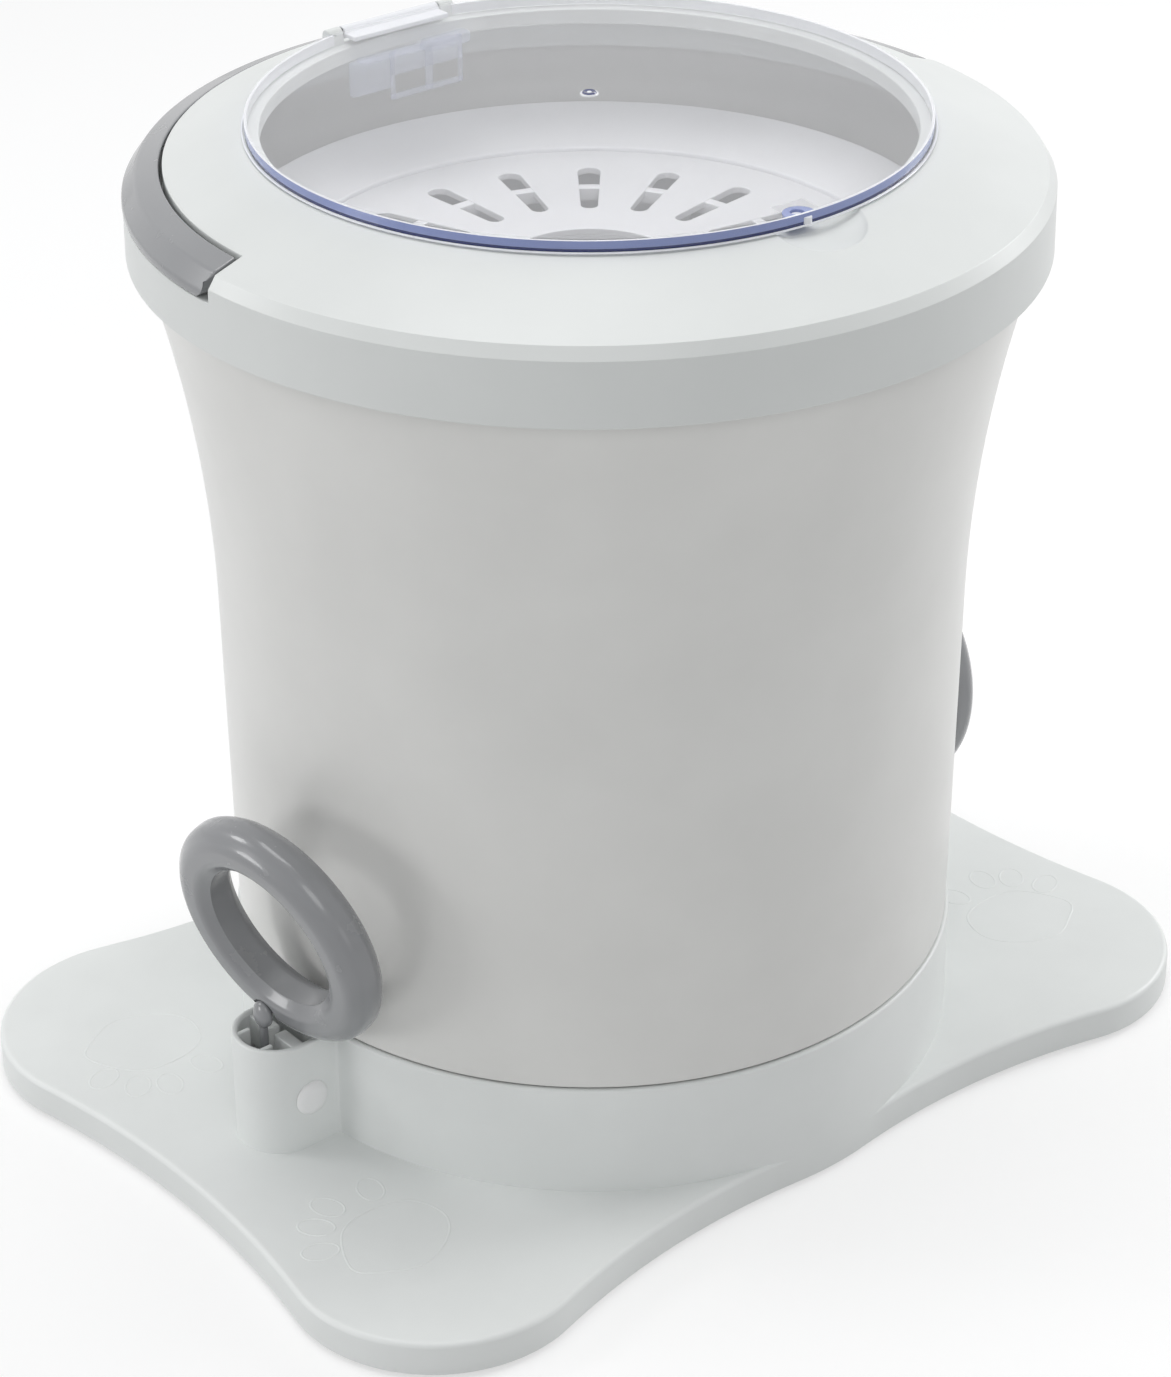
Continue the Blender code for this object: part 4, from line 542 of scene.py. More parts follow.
def socket_outside(inset, height, side):
    """Returns one level of a socket's outer wall, with the fillets that join it to the collar."""
    x, y, foot = SOCKET_FILLET
    points = arc((x, -y), foot + inset, pi, QUARTER, 6)
    points += arc((SOCKET_X, 0.0), SOCKET_R - inset, -QUARTER, QUARTER, 36)
    points += arc((x, y), foot + inset, -QUARTER, -pi, 6)
    return [(side * max(x, SOCKET_FLAT), y, height) for x, y in points]


def socket_inside(inset, height, side):
    """Returns one level of a ring socket's D-shaped pocket."""
    radius = SOCKET_R - inset
    flat = SOCKET_FLAT + 0.9 * inset
    corner = 0.25 + 0.55 * inset
    points = arc((flat + corner, corner - radius), corner, -pi, -QUARTER, 6)
    points += arc((SOCKET_X, 0.0), radius, -QUARTER, QUARTER, 36)
    points += arc((flat + corner, radius - corner), corner, QUARTER, pi, 6)
    return [(side * x, y, height) for x, y in points]


def smooth_loop(points, steps):
    """Returns a closed smooth curve through the points."""
    result = []
    count = len(points)
    for k in range(count):
        p0, p1, p2, p3 = (Vector(points[(k + n) % count]) for n in (-1, 0, 1, 2))
        for step in range(steps):
            t = step / steps
            square = (2.0 * p0 - 5.0 * p1 + 4.0 * p2 - p3) * t * t
            cube = (3.0 * p1 - p0 - 3.0 * p2 + p3) * t**3
            result.append(tuple(0.5 * (2.0 * p1 + (p2 - p0) * t + square + cube)))
    return result


def paw_prints():
    """Returns the centre lines of the faint raised prints on the four lobes."""
    lines = [smooth_loop([(PAD_AT[0] + x, PAD_AT[1] + y) for x, y in PAD], 10)]
    for x, y in TOES:
        tilt = atan2(y - PAD_AT[1], x - PAD_AT[0])
        c, s = cos(tilt), sin(tilt)
        oval = []
        for u, v in circle(1.0, 40):
            a, b = TOE_AXES[0] * u, TOE_AXES[1] * v
            oval.append((x + a * c - b * s, y + a * s + b * c))
        lines.append(oval)
    return [[(sx * x, sy * y) for x, y in line] for sx in (1.0, -1.0) for sy in (1.0, -1.0) for line in lines]


def add_ridge(shell, line):
    """Adds a low rounded ridge that stands on the plate along a closed line."""
    rows = []
    count = len(line)
    for k in range(count):
        here = Vector(line[k])
        along = (Vector(line[(k + 1) % count]) - Vector(line[k - 1])).normalized()
        side = Vector((-along.y, along.x))
        row = []
        for n in range(9):
            turn = pi * n / 8.0
            place = here + side * (0.5 * PRINT_WIDTH * cos(turn))
            row.append((place.x, place.y, PLATE_TOP - PRINT_SUNK + (PRINT_RISE + PRINT_SUNK) * sin(turn)))
        rows.append(row)
    shell.grid(rows, closed=True)


def add_plate(shell):
    """Adds the lobed plate, with its edge wall, its web and the lip round the hub's hole."""
    levels = [(EDGE_WALL, PLATE_WEB_Z), (EDGE_WALL, FLOOR_GAP), (0.4, FLOOR_GAP), (0.1, FLOOR_GAP + 0.1),
              (0.0, FLOOR_GAP + 0.4), (0.0, PLATE_TOP - PLATE_ROUND)]
    for turn in quarter(8)[1:]:
        rise = PLATE_ROUND * sin(turn)
        levels.append((PLATE_ROUND * (1.0 - cos(turn)), PLATE_TOP - PLATE_ROUND + rise))
    levels.append((FACE_INSET, PLATE_TOP))
    shell.grid([at(plate_outline(inset), height) for inset, height in levels])
    fill_between(shell, plate_outline(EDGE_WALL), circle(HUB_R), PLATE_WEB_Z)
    fill_between(shell, plate_outline(FACE_INSET), circle(HUB_LIP[0][0]), PLATE_TOP)
    lip = [at(circle(radius), PLATE_TOP + drop) for radius, drop in HUB_LIP]
    shell.grid(lip + [at(circle(HUB_R), PLATE_WEB_Z)])


def add_socket(shell, side):
    """Adds one ring socket, its pocket and the guide blocks in it."""
    rows = [socket_outside(0.0, BURIED_Z, side)]
    for turn in quarter(7):
        inset, rise = RIM_ROUND_OUT * (1.0 - cos(turn)), RIM_ROUND_OUT * sin(turn)
        rows.append(socket_outside(inset, SOCKET_TOP - RIM_ROUND_OUT + rise, side))
    for turn in quarter(7):
        inset, rise = RIM_ROUND_IN * (1.0 + sin(turn)), RIM_ROUND_IN * cos(turn)
        rows.append(socket_inside(inset, SOCKET_TOP - RIM_ROUND_IN + rise, side))
    rows += [socket_inside(POCKET_INSET + inset, height, side) for inset, height in POCKET_FLOOR]
    shell.grid(rows)
    shell.cap(rows[-1])
    for hand in (1.0, -1.0):
        for x, y, z, bevel in GUIDE_BLOCKS:
            x, y = sorted((side * x[0], side * x[1])), sorted((hand * y[0], hand * y[1]))
            shell.block((x[0], y[0], z[0]), (x[1], y[1], z[1]), bevel)


def make_base():
    shell = Shell()
    add_plate(shell)
    low, high = SHELF_Z
    collar = [(COLLAR_IN, COLLAR_TOP), (COLLAR_OUT, COLLAR_TOP), (COLLAR_OUT, COLLAR_FOOT_Z),
              (COLLAR_IN, COLLAR_FOOT_Z), (COLLAR_IN, low), (SHELF_IN, low), (SHELF_IN, high),
              (COLLAR_IN, high)]
    shell.lathe(rounded(collar, [0.8, 1.2, 0.0, 0.0, 0.4, 0.3, 0.4, 0.5], 7), 320)
    for side in (1.0, -1.0):
        add_socket(shell, side)
    screws = [(x, y) for x in (-LOBE[0], LOBE[0]) for y in (-SCREW_Y, SCREW_Y)]
    for spot in screws + [(0.0, -END_SCREW_Y), (0.0, END_SCREW_Y)]:
        shell.lathe(SCREW_BOSS, 32, spot)
    for line in paw_prints():
        add_ridge(shell, line)
    dress(shell.piece("base_shell", PLATE), "base", "pale_grey_plastic", "base_plate")


def make_axle_cap(side, hand, facing, end):
    """A white domed cap with a thin flange on the cheek of a socket."""
    turn = Matrix.Rotation(-facing * QUARTER, 4, "X")
    place = Matrix.Translation((side * PULLEY_X, facing * CAP_Y, PULLEY_Z))
    piece = Shell().lathe(CAP_PROFILE, 72).moved(place @ turn).piece("cap_dome_%s_%s" % (hand, end), BUTTON)
    dress(piece, "base", "white_plastic", "axle_cap_%s_%s" % (hand, end))


make_base()
for side, hand in SIDES:
    make_axle_cap(side, hand, 1.0, "back")
    make_axle_cap(side, hand, -1.0, "front")


# Lugs, rings and cords

LUG_FOOT_Z, STEM_TOP_Z = 44.1, 56.0
STEM = (1.2, 1.6)
BULB = (2.7, 4.4, 5.2)
FOOT_ROUND = 0.6
RING_R = 36.4
RING_CORNERS = [(-8.3, -4.2), (-8.3, 4.9), (-7.95, 5.1), (-4.4, 8.15), (3.2, 8.15), (8.3, 3.6), (8.4, -3.6),
                (4.2, -8.3), (-4.6, -8.3)]
RING_FILLETS = [3.2, 0.25, 0.25, 5.0, 7.0, 6.5, 5.5, 6.0, 4.4]
SEAT_R = 5.6
# Each pull ring's middle, its axis and the way up to its top.
RING_PLACES = {
    "left": ((-148.0, -10.6, 103.9), (-0.967, -0.115, -0.227), (-0.185, -0.293, 0.938)),
    "right": ((140.5, -10.7, 102.9), (0.994, -0.104, -0.035), (0.003, -0.294, 0.956)),
}
CORD_R, COIL_CORD_R = 1.2, 1.15
STRANDS, LAY_TURN, LAY_DEPTH = 6, 1.3, 0.16
CORD_Z, CORD_STEP_Z = 26.3, 2.2
WRAP_R = 8.0
COIL_R, COIL_PITCH, COIL_TURNS = 23.9, 2.45 * 0.62, 3
ROUTE_CLEAR, ROUTE_PITCH = 2.8, 0.45
RISER_Z, RISER_LENGTH = 34.4, 9.6


def superellipse(half_a, half_b, power, steps):
    points = []
    for c, s in circle(1.0, steps):
        a, b = abs(c) ** (2.0 / power), abs(s) ** (2.0 / power)
        points.append((half_a * copysign(a, c), half_b * copysign(b, s)))
    return points


def make_lug(side, hand):
    """The tongue on the cord's end: a narrow stem that swells into the flat knob under the ring."""
    rows = []
    for turn in quarter(4):
        inset = FOOT_ROUND * (1.0 - sin(turn))
        rows.append((LUG_FOOT_Z + FOOT_ROUND * (1.0 - cos(turn)), STEM[0] - inset, STEM[1] - inset, 3.2))
    rows += [(z, *STEM, 3.2) for z in (48.0, 52.0, STEM_TOP_Z)]
    first = KNOB_Z - BULB[2] * cos(pi * 7 / 40.0)
    for k in range(1, 41):
        if k > 6:
            z = KNOB_Z - BULB[2] * cos(pi * k / 40.0)
        else:
            z = STEM_TOP_Z + (first - STEM_TOP_Z) * k / 7.0
        swell = sqrt(max(1.0 - ((z - KNOB_Z) / BULB[2]) ** 2, 0.0))
        fade = min(1.0, max(0.0, (KNOB_Z - z) / BULB[2]))
        fade = fade * fade * (3.0 - 2.0 * fade)
        half = [((STEM[n] * fade) ** 4 + (BULB[n] * swell) ** 4) ** 0.25 for n in (0, 1)]
        rows.append((z, *half, 2.0 + 1.2 * fade))
    loops = []
    for z, half_x, half_y, power in rows:
        loops.append([(side * CORD_X + x, y, z) for x, y in superellipse(half_x, half_y, power, 48)])
    piece = Shell().grid(loops).cap(loops[0]).piece("lug_%s_tongue" % hand, GREY)
    dress(piece, "lug_" + hand, "grey_plastic", "cord_lug_" + hand)


def make_ring(side, hand):
    """The pull ring, round but for its flat faces and flatter hole, with the seat of its lug's knob."""
    middle, normal, upward = (Vector(v) for v in RING_PLACES[hand])
    normal.normalize()
    upward = (upward - normal * upward.dot(normal)).normalized()
    across = normal.cross(upward)
    section = rounded(RING_CORNERS, RING_FILLETS, 9)
    rows = []
    for c, s in circle(1.0, 168):
        out = upward * c + across * s
        rows.append([tuple(middle + out * (RING_R + a) + normal * b) for a, b in section])
    ring = Shell().grid(rows, closed=True).piece("ring_%s_grip" % hand, GREY, weighted=False)
    cut_away(ring, ball_cutter((side * CORD_X, 0.0, KNOB_Z), SEAT_R))
    even(ring, 40.0)
    dress(ring, "ring_" + hand, "grey_plastic", "pull_ring_" + hand)


def laid_cord(points, radius=CORD_R, steps=18):
    """Returns a laid cord along a line of points, its strands twisting round it."""
    lines = [Vector(p) for p in points]
    side = None
    rows = []
    travelled = 0.0
    for k, here in enumerate(lines):
        along = (lines[min(k + 1, len(lines) - 1)] - lines[max(k - 1, 0)]).normalized()
        if side is None:
            side = along.orthogonal().normalized()
        side = (side - along * side.dot(along)).normalized()
        other = along.cross(side)
        if k:
            travelled += (here - lines[k - 1]).length
        row = []
        for n in range(steps):
            turn = TURN * n / steps
            lay = abs(sin(0.5 * STRANDS * (turn + LAY_TURN * travelled)))
            reach = radius * (1.0 - LAY_DEPTH * (1.0 - lay))
            row.append(tuple(here + (side * cos(turn) + other * sin(turn)) * reach))
        rows.append(row)
    return Shell().capped(rows)


def refined(points):
    """Returns the line's points at an even small pitch."""
    result = [Vector(points[0])]
    for first, second in zip(points, points[1:]):
        count = max(1, round((second - first).length / ROUTE_PITCH))
        result += [first.lerp(second, (k + 1) / count) for k in range(count)]
    return result


def make_cords(side, hand):
    """One cord: its run from the drum round the pulley, its turns on the drum and its rising end."""
    heading = (pi if side < 0.0 else 0.0) - acos(DRUM_R / PULLEY_X)
    level = CORD_Z - side * CORD_STEP_Z
    touch = Vector((DRUM_R * cos(heading), DRUM_R * sin(heading), level))
    foot = Vector((side * PULLEY_X, 0.0, CORD_Z))
    first = sqrt((DRUM_R + ROUTE_CLEAR) ** 2 - DRUM_R**2) / (foot - touch).length
    route = [touch.lerp(foot, first + (1.0 - first) * k / 18.0) for k in range(18)]
    for turn in quarter(16):
        out = side * (PULLEY_X + WRAP_R * sin(turn))
        route.append(Vector((out, 0.0, PULLEY_Z - WRAP_R * cos(turn))))
    run = laid_cord(refined(route)).piece("cord_%s_fixed" % hand, CORD, weighted=False)
    dress(run, "base", "cord", "cord_run_" + hand)
    coil = []
    for k in range(COIL_TURNS * 90 + 1):
        turn = TURN * k / 90.0
        radius = COIL_R + COIL_PITCH * k / 90.0
        coil.append((radius * cos(turn), radius * sin(turn), level))
    wound = laid_cord(coil, COIL_CORD_R, 12).piece("cord_%s_turns" % hand, CORD, weighted=False)
    dress(wound, "rope_wheel", "cord", "wound_cord_" + hand)
    x = side * CORD_X
    line = [(x, 0.0, RISER_Z + RISER_LENGTH * k / 60.0) for k in range(61)]
    piece = laid_cord(line).piece("cord_%s_rising" % hand, CORD, weighted=False)
    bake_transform(piece)
    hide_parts("cord_riser_" + hand)


for side, hand in SIDES:
    make_lug(side, hand)
    make_ring(side, hand)
    make_cords(side, hand)


# Tub

TUB_FOOT = (129.7, 56.0)
TUB_SPREAD = 1.4
FLARE_START = (131.1, 180.0)
FLARE_R = 502.0
FLARE_END_Z = 318.0
TUB_WALL = 2.6
WALL_HEIGHTS = [80.0, 110.0, 140.0, 165.0, FLARE_START[1]]
FLARE_STEPS = 24


def flare(z, inset=0.0):
    """Returns the tub's radius at a height."""
    start, level = FLARE_START
    if z <= level:
        return TUB_FOOT[0] + TUB_SPREAD * (z - TUB_FOOT[1]) / (level - TUB_FOOT[1]) - inset
    return start + FLARE_R - sqrt(FLARE_R**2 - (z - level) ** 2) - inset


def make_tub():
    level = FLARE_START[1]
    heights = [level + (FLARE_END_Z - level) * k / FLARE_STEPS for k in range(FLARE_STEPS + 1)]
    foot = [(8.0, 44.0), (11.0, 44.0), (11.0, 46.0), (124.8, 46.0), (124.8, 38.0), (127.4, 38.0),
            (127.4, 56.3), (129.6, 56.7)]
    radii = [0.2, 0.5, 0.6, 0.8, 0.5, 0.7, 0.3, 0.6]
    outside = [(flare(z), z) for z in WALL_HEIGHTS + heights[1:]]
    rim = flare(FLARE_END_Z)
    top = [(rim, 322.0), (152.7, 322.0), (152.7, 325.5), (rim, 325.5), (rim, 330.5), (rim - TUB_WALL, 330.5),
           (rim - TUB_WALL, FLARE_END_Z)]
    inside = [(flare(z, TUB_WALL), z) for z in reversed(heights[:-1])]
    floor = [(127.1, 62.0), (124.8, 57.0), (124.8, 49.0), (11.0, 49.0), (11.0, 58.0), (8.0, 58.0)]
    radii += [0.0] * len(outside) + [0.3, 0.5, 0.5, 0.3, 0.8, 0.8, 0.0]
    radii += [0.0] * len(inside) + [1.5, 1.5, 3.0, 1.5, 0.6, 0.3]
    outline = rounded(foot + outside + top + inside + floor, radii, 5)
    dress(Shell().lathe(outline, 320).piece("tub_wall", TUB), "tub", "pale_grey_plastic", "tub")


make_tub()


# Cover

SLOPE = 0.34646
SLOPE_END, SLOPE_END_Z = 152.1, 342.0
REBATE_R = 141.3
WALL_Y = -4.6
THROAT_R = 109.0
SEAT_IN, SEAT_OUT, SEAT_Z = 111.2, 112.5, 352.0
SCOOP_X, SCOOP_Y, SCOOP_BACK_Y = 0.3, -112.5, -95.0
SCOOP_AXES = (17.0, 14.5)
SCOOP_DEPTH = 3.2
SCOOP_SOFTNESS = 0.02
RIM_FOOT_R, RIM_R, RIM_Z = 155.1, 154.85, 338.0
REBATE_Z = 333.2
END_ROUND = 0.3
SCOOP_R, MIDDLE_R = 114.0, 147.0
FINE_STEP, COARSE_STEP, FINE_REACH, LAST_GAP = 0.0011, 0.006, 0.075, 0.002
EAR_TOP_R = 2.3
EAR_FOOT = [(115.9, 354.0), (109.9, 354.2)]
EAR_X = (20.95, 26.9)


def slope_point(radius):
    return radius, SLOPE_END_Z + SLOPE * (SLOPE_END - radius)


def scoop_drop(x, y, z):
    """Returns how far the finger scoop lowers a point of the cover's top."""
    if y > SCOOP_BACK_Y or z < SEAT_Z and hypot(x, y) < SEAT_OUT:
        return 0.0
    u, v = (x - SCOOP_X) / SCOOP_AXES[0], (y - SCOOP_Y) / SCOOP_AXES[1]
    inside = max(1.0 - u * u - v * v, 0.0)
    return SCOOP_DEPTH * (sqrt(inside + SCOOP_SOFTNESS) - sqrt(SCOOP_SOFTNESS))


def cover_runs():
    """Returns the cover's section in four runs: seat and slope, front edge, back edge, skirt and inside."""
    lip = [(112.0, 349.6), (THROAT_R, 349.6), (THROAT_R, 355.2), slope_point(114.0), slope_point(118.0)]
    lip = rounded(lip, [0.0, 0.5, 0.55, 0.5, 0.0], 5)[1:-1]
    seat = [(SEAT_IN, SEAT_Z), (SEAT_IN, 349.8)] + lip
    slope = [114.8 + 12.2 * k / 34.0 for k in range(35)] + [130.0, 135.0, 139.0, 140.3]
    wall = RIM_FOOT_R - (RIM_FOOT_R - RIM_R) * (REBATE_Z - RIM_FOOT_Z) / (RIM_Z - RIM_FOOT_Z)
    start = slope_point(140.9)
    front = [start, (SLOPE_END, SLOPE_END_Z), (RIM_R, RIM_Z), (wall, REBATE_Z)]
    front = rounded(front, [0.0, 0.5, 0.6, 0.0], 8)
    edge = (REBATE_R, slope_point(REBATE_R)[1] - 0.15)
    back = [start, edge, (REBATE_R, REBATE_Z), (wall - 0.35, REBATE_Z), (wall, REBATE_Z - 0.25)]
    back = rounded(back, [0.0, 0.35, 0.5, 0.3, 0.0], 5)
    skirt = [(wall, 332.5), (RIM_FOOT_R, RIM_FOOT_Z), (153.0, RIM_FOOT_Z), (153.0, 330.8), (138.9, 330.8),
             (138.9, 344.4), (SEAT_IN, SEAT_Z)]
    skirt = rounded(skirt, [0.0, 0.6, 0.5, 0.0, 0.0, 0.0, 0.0], 6)[:-1]
    return seat + [slope_point(r) for r in slope], front, back, skirt


def front_places():
    """Returns how far round the front each column stands, and its share of the front's edge."""
    ends = [(END_ROUND * (1.0 - cos(turn)) / MIDDLE_R / pi, sin(turn)) for turn in quarter(6)]
    share = last = ends[-1][0]
    places = list(ends)
    scoop_share = 0.5 - SCOOP_X / SCOOP_R / pi
    while True:
        share += FINE_STEP if abs(share - scoop_share) < FINE_REACH else COARSE_STEP
        if share > 1.0 - last - LAST_GAP:
            break
        places.append((share, 1.0))
    return places + [(1.0 - share, fullness) for share, fullness in reversed(ends)]


def make_cover():
    """The ring cover: one section in front and another, with the rebate, behind."""
    first, front, back, skirt = cover_runs()

    def column(middle, share, behind):
        row = []
        for r, z in first + middle + skirt:
            alpha = asin(-WALL_Y / r)
            turn = -alpha + share * (pi + 2.0 * alpha) if behind else -alpha - share * (pi - 2.0 * alpha)
            x, y = r * cos(turn), r * sin(turn)
            row.append((x, y, z - (0.0 if behind else scoop_drop(x, y, z))))
        return row

    rows = []
    for share, fullness in front_places():
        middle = []
        for a, b in zip(back, front):
            gap = dist(a, b)
            t = 1.0 - min(END_ROUND / gap, 0.35) * (1.0 - fullness) if gap > 1e-6 else 1.0
            middle.append((a[0] + (b[0] - a[0]) * t, a[1] + (b[1] - a[1]) * t))
        rows.append(column(middle, share, False))
    rows += [column(back, k / 240.0, True) for k in range(240, -1, -1)]
    shell = Shell().grid(rows, closed=True)
    for side in (1.0, -1.0):
        add_ear(shell, side)
    piece = with_cover(shell.piece("cover_shell", COVER, sharp=38.0))
    dress(piece, "tub", "white_plastic", "top_cover")


def add_ear(shell, side):
    """Adds one ear of the lid's hinge, a flat outline with rounded rims."""
    outline = arc((HINGE_Y, HINGE_Z), EAR_TOP_R, pi, 0.0, 14) + EAR_FOOT
    outline = rounded(outline, [0.0] * 15 + [0.3, 0.3], 2)
    middle = Vector([sum(values) / len(outline) for values in zip(*outline)])
    low, high = sorted((side * EAR_X[0], side * EAR_X[1]))
    rows = []
    for inset, x in rim_levels(low, high, 0.45):
        row = []
        for point in outline:
            spot = drawn_in(point, middle, inset)
            row.append((x, spot.x, spot.y))
        rows.append(row)
    shell.capped(rows)


make_cover()


# Handle

HANDLE_CORNERS = [(142.5, 333.5), (155.3, 333.5), (155.2, 336.2), (150.7, 342.3), (142.5, 345.0)]
HANDLE_FILLETS = [0.4, 0.8, 3.0, 3.2, 0.55]
BOW_MIDDLE = Vector((148.6, 340.2))
BOSS_Y, BOSS_Z, BOSS_R = 4.0, 340.0, 6.45
HANDLE_END_Y, HANDLE_ROUND = -2.6, 0.8


def make_handle():
    """The half-round bow, with straight ends that are round under their pins."""
    outline = rounded(HANDLE_CORNERS, HANDLE_FILLETS, 8)

    def row_at(place, shrink):
        row = []
        for point in outline:
            spot = drawn_in(point, BOW_MIDDLE, shrink)
            x, y = place(spot.x)
            z = spot.y
            if y < BOSS_Y:
                z = max(z, BOSS_Z - sqrt(max(BOSS_R**2 - (min(y, BOSS_Y) - BOSS_Y) ** 2, 0.0)))
            row.append((x, y, z))
        return row

    ends = []
    for turn in quarter(8):
        inset = HANDLE_ROUND * (1.0 - sin(turn))
        ends.append((HANDLE_END_Y + HANDLE_ROUND * (1.0 - cos(turn)), inset))
    y = ends[-1][0]
    while y < BOSS_Y:
        y += 0.35
        ends.append((min(y, BOSS_Y), 0.0))
    rows = [row_at(lambda r, c=c: (sqrt(r * r - c * c), c), shrink) for c, shrink in ends]
    for k in range(1, 200):

        def place(r, share=k / 200):
            first = asin(BOSS_Y / r)
            turn = first + (pi - 2.0 * first) * share
            return r * cos(turn), r * sin(turn)

        rows.append(row_at(place, 0.0))
    rows += [row_at(lambda r, c=c: (-sqrt(r * r - c * c), c), shrink) for c, shrink in reversed(ends)]
    piece = with_cover(Shell().capped(rows).piece("handle_bow", GREY, sharp=40.0))
    dress(piece, "handle", "grey_plastic", "carry_handle")


make_handle()


# Funnel ring and slotted lid

FUNNEL = [(97.5, 301.2), (102.3, 301.2), (102.45, 305.2), (124.0, 315.5), (124.0, 312.7), (118.3, 309.7),
          (118.3, 307.0), (116.0, 307.0), (103.6, 301.7), (103.6, 299.0), (97.5, 299.0)]
FUNNEL_FILLETS = [0.6, 0.5, 0.9, 0.9, 0.8, 0.3, 0.4, 0.4, 1.0, 0.5, 0.5]
LID_R, LID_Z = 102.0, (301.5, 304.0)
LID_HOLE_R = 29.5
SLOTS = 18
SLOT_ENDS = (48.0, 86.0)
SLOT_HALF_WIDTHS = (3.0, 4.0)
OUTER_RIB = [(66.9, 299.0), (70.9, 299.0), (70.9, 303.7), (66.9, 303.7)]
INNER_RIB = [(29.6, 298.0), (31.8, 298.0), (31.8, 303.0), (29.6, 303.0)]


def make_funnel():
    piece = Shell().lathe(rounded(FUNNEL, FUNNEL_FILLETS, 6), 288).piece("funnel_cone", INNER)
    dress(piece, "basket", "white_plastic", "funnel_ring")


def slot_outline(turn):
    (first, last), (narrow, wide) = SLOT_ENDS, SLOT_HALF_WIDTHS
    points = arc((last - wide, 0.0), wide, -QUARTER, QUARTER, 12)
    points += arc((first + narrow, 0.0), narrow, QUARTER, 3.0 * QUARTER, 12)
    c, s = cos(turn), sin(turn)
    return [(x * c - y * s, x * s + y * c) for x, y in points]


def plate_with_holes(name, material, outer, holes, low, high, bevel):
    """Returns a flat plate with holes and rounded edges."""
    curve = bpy.data.curves.new(name, "CURVE")
    curve.dimensions = "2D"
    curve.fill_mode = "BOTH"
    curve.extrude = (0.5 * (high - low) - bevel) * MM
    curve.bevel_depth = bevel * MM
    curve.offset = -bevel * MM
    curve.bevel_resolution = 3
    for loop in [outer] + holes:
        spline = curve.splines.new("POLY")
        spline.points.add(len(loop) - 1)
        for point, (x, y) in zip(spline.points, loop):
            point.co = (x * MM, y * MM, 0.0, 1.0)
        spline.use_cyclic_u = True
    item = placed(name, curve)
    mesh = final_mesh(item)
    bpy.data.objects.remove(item)
    mesh.transform(Matrix.Translation((0.0, 0.0, 0.5 * (low + high) * MM)))
    mesh.materials.clear()
    mesh.materials.append(material)
    return piece_from(name, mesh, 35.0)


def make_basket_lid():
    holes = [circle(LID_HOLE_R, 96)] + [slot_outline(TURN * (k + 0.5) / SLOTS) for k in range(SLOTS)]
    piece = plate_with_holes("basket_lid_plate", INNER, circle(LID_R, 240), holes, *LID_Z, 0.4)
    dress(piece, "basket_lid", "white_plastic", "basket_lid")
    ribs = Shell().lathe(rounded(OUTER_RIB, 0.4, 4), 200)
    ribs.lathe(rounded(INNER_RIB, [0.7, 0.7, 0.1, 0.1], 4), 120)
    dress(ribs.piece("basket_lid_ribs", INNER), "basket_lid", "white_plastic")


make_funnel()
make_basket_lid()


# Clear lid

LID_CHORD = 110.2
DOME_R, DOME_TOP_Z, DOME_DROP, DOME_THICK = 110.2, 364.6, 4.3, 2.0
SKIRT_IN_R = 105.0
LID_SKIRT = [(113.95, 360.0), (114.25, 359.2), (114.3, 356.3), (114.35, 355.95), (115.0, 355.9),
             (115.0, 355.5), (107.2, 355.5), (107.2, 350.0), (SKIRT_IN_R, 350.0)]
LID_SKIRT_FILLETS = [1.5, 0.5, 0.3, 0.0, 0.15, 0.2, 0.15, 0.35, 0.4, 0.5, 0.8]
FLAT_CUT = ((-34.0, LID_CHORD, 350.0), (34.0, 120.0, 370.0))
SKIRT_CUT = ((-34.0, 57.0, 345.0), (34.0, 120.0, 355.5))
FLANGE_R, FLANGE_Z = 114.32, 356.0
HAZE_R = 112.0
BAND = [(112.9, 355.75), (113.85, 355.75), (113.85, 356.8), (113.85, 359.4), (112.9, 359.4)]
# Each face of the band in turn: white underneath; navy low on the outside, painted shade of the gap under the
# wall; blue above; white on top and inside, a painted highlight along the edges.
BAND_MARKS = (2, 1, 0, 2, 2)
LATCH_X, LATCH_Y, LATCH_HALF = -5.6, -111.0, 5.5
LATCH_LEVELS = (352.0, 355.7, 358.8)
HOLE_R, HOLE_SHIFT = 2.2, 1.2
# Each small white peg, a painted glint at the latch: its middle, its radius, its foot and its top.
GLINT_PEGS = (((LATCH_X, LATCH_Y + HOLE_SHIFT), 2.1, 355.9, 357.9), ((LATCH_X + 1.2, -112.8), 1.9, 355.9, 358.2))
BARREL = [(1.5, -20.4), (2.3, -20.4), (2.3, 20.4), (1.5, 20.4)]
BARREL_TAB = ((-20.3, 104.9, 357.3), (20.3, 111.4, 359.0))
# Each part of the block under the hinge: its low and high corner and its rounding.
HINGE_PARTS = (
    ((-23.4, 102.5, 337.9), (-5.9, 105.3, 350.5), 0.8),
    ((-6.1, 103.5, 332.9), (25.1, 104.9, 334.9), 0.4),
    ((-6.1, 103.5, 341.9), (25.1, 104.9, 350.6), 0.4),
    ((-6.1, 103.5, 333.4), (-4.4, 104.9, 350.6), 0.4),
    ((9.1, 103.5, 333.4), (12.1, 104.9, 350.6), 0.4),
    ((23.6, 103.5, 333.4), (25.1, 104.9, 350.6), 0.4),
    ((-20.0, 100.2, 349.8), (20.0, 105.3, 351.2), 0.5),
    ((6.0, 99.0, 348.4), (26.0, 104.0, 353.0), 1.6),
)
NUB = [(0.0, 364.85), (0.7, 364.85), (0.8, 364.7), (2.1, 364.95), (2.3, 364.75), (2.45, 364.45),
       (2.9, 364.5), (3.1, 364.3), (3.1, 363.9), (0.0, 363.9)]
NUB_MARKS = (1, 1, 0, 0, 0, 1, 1, 1, 1, 1)


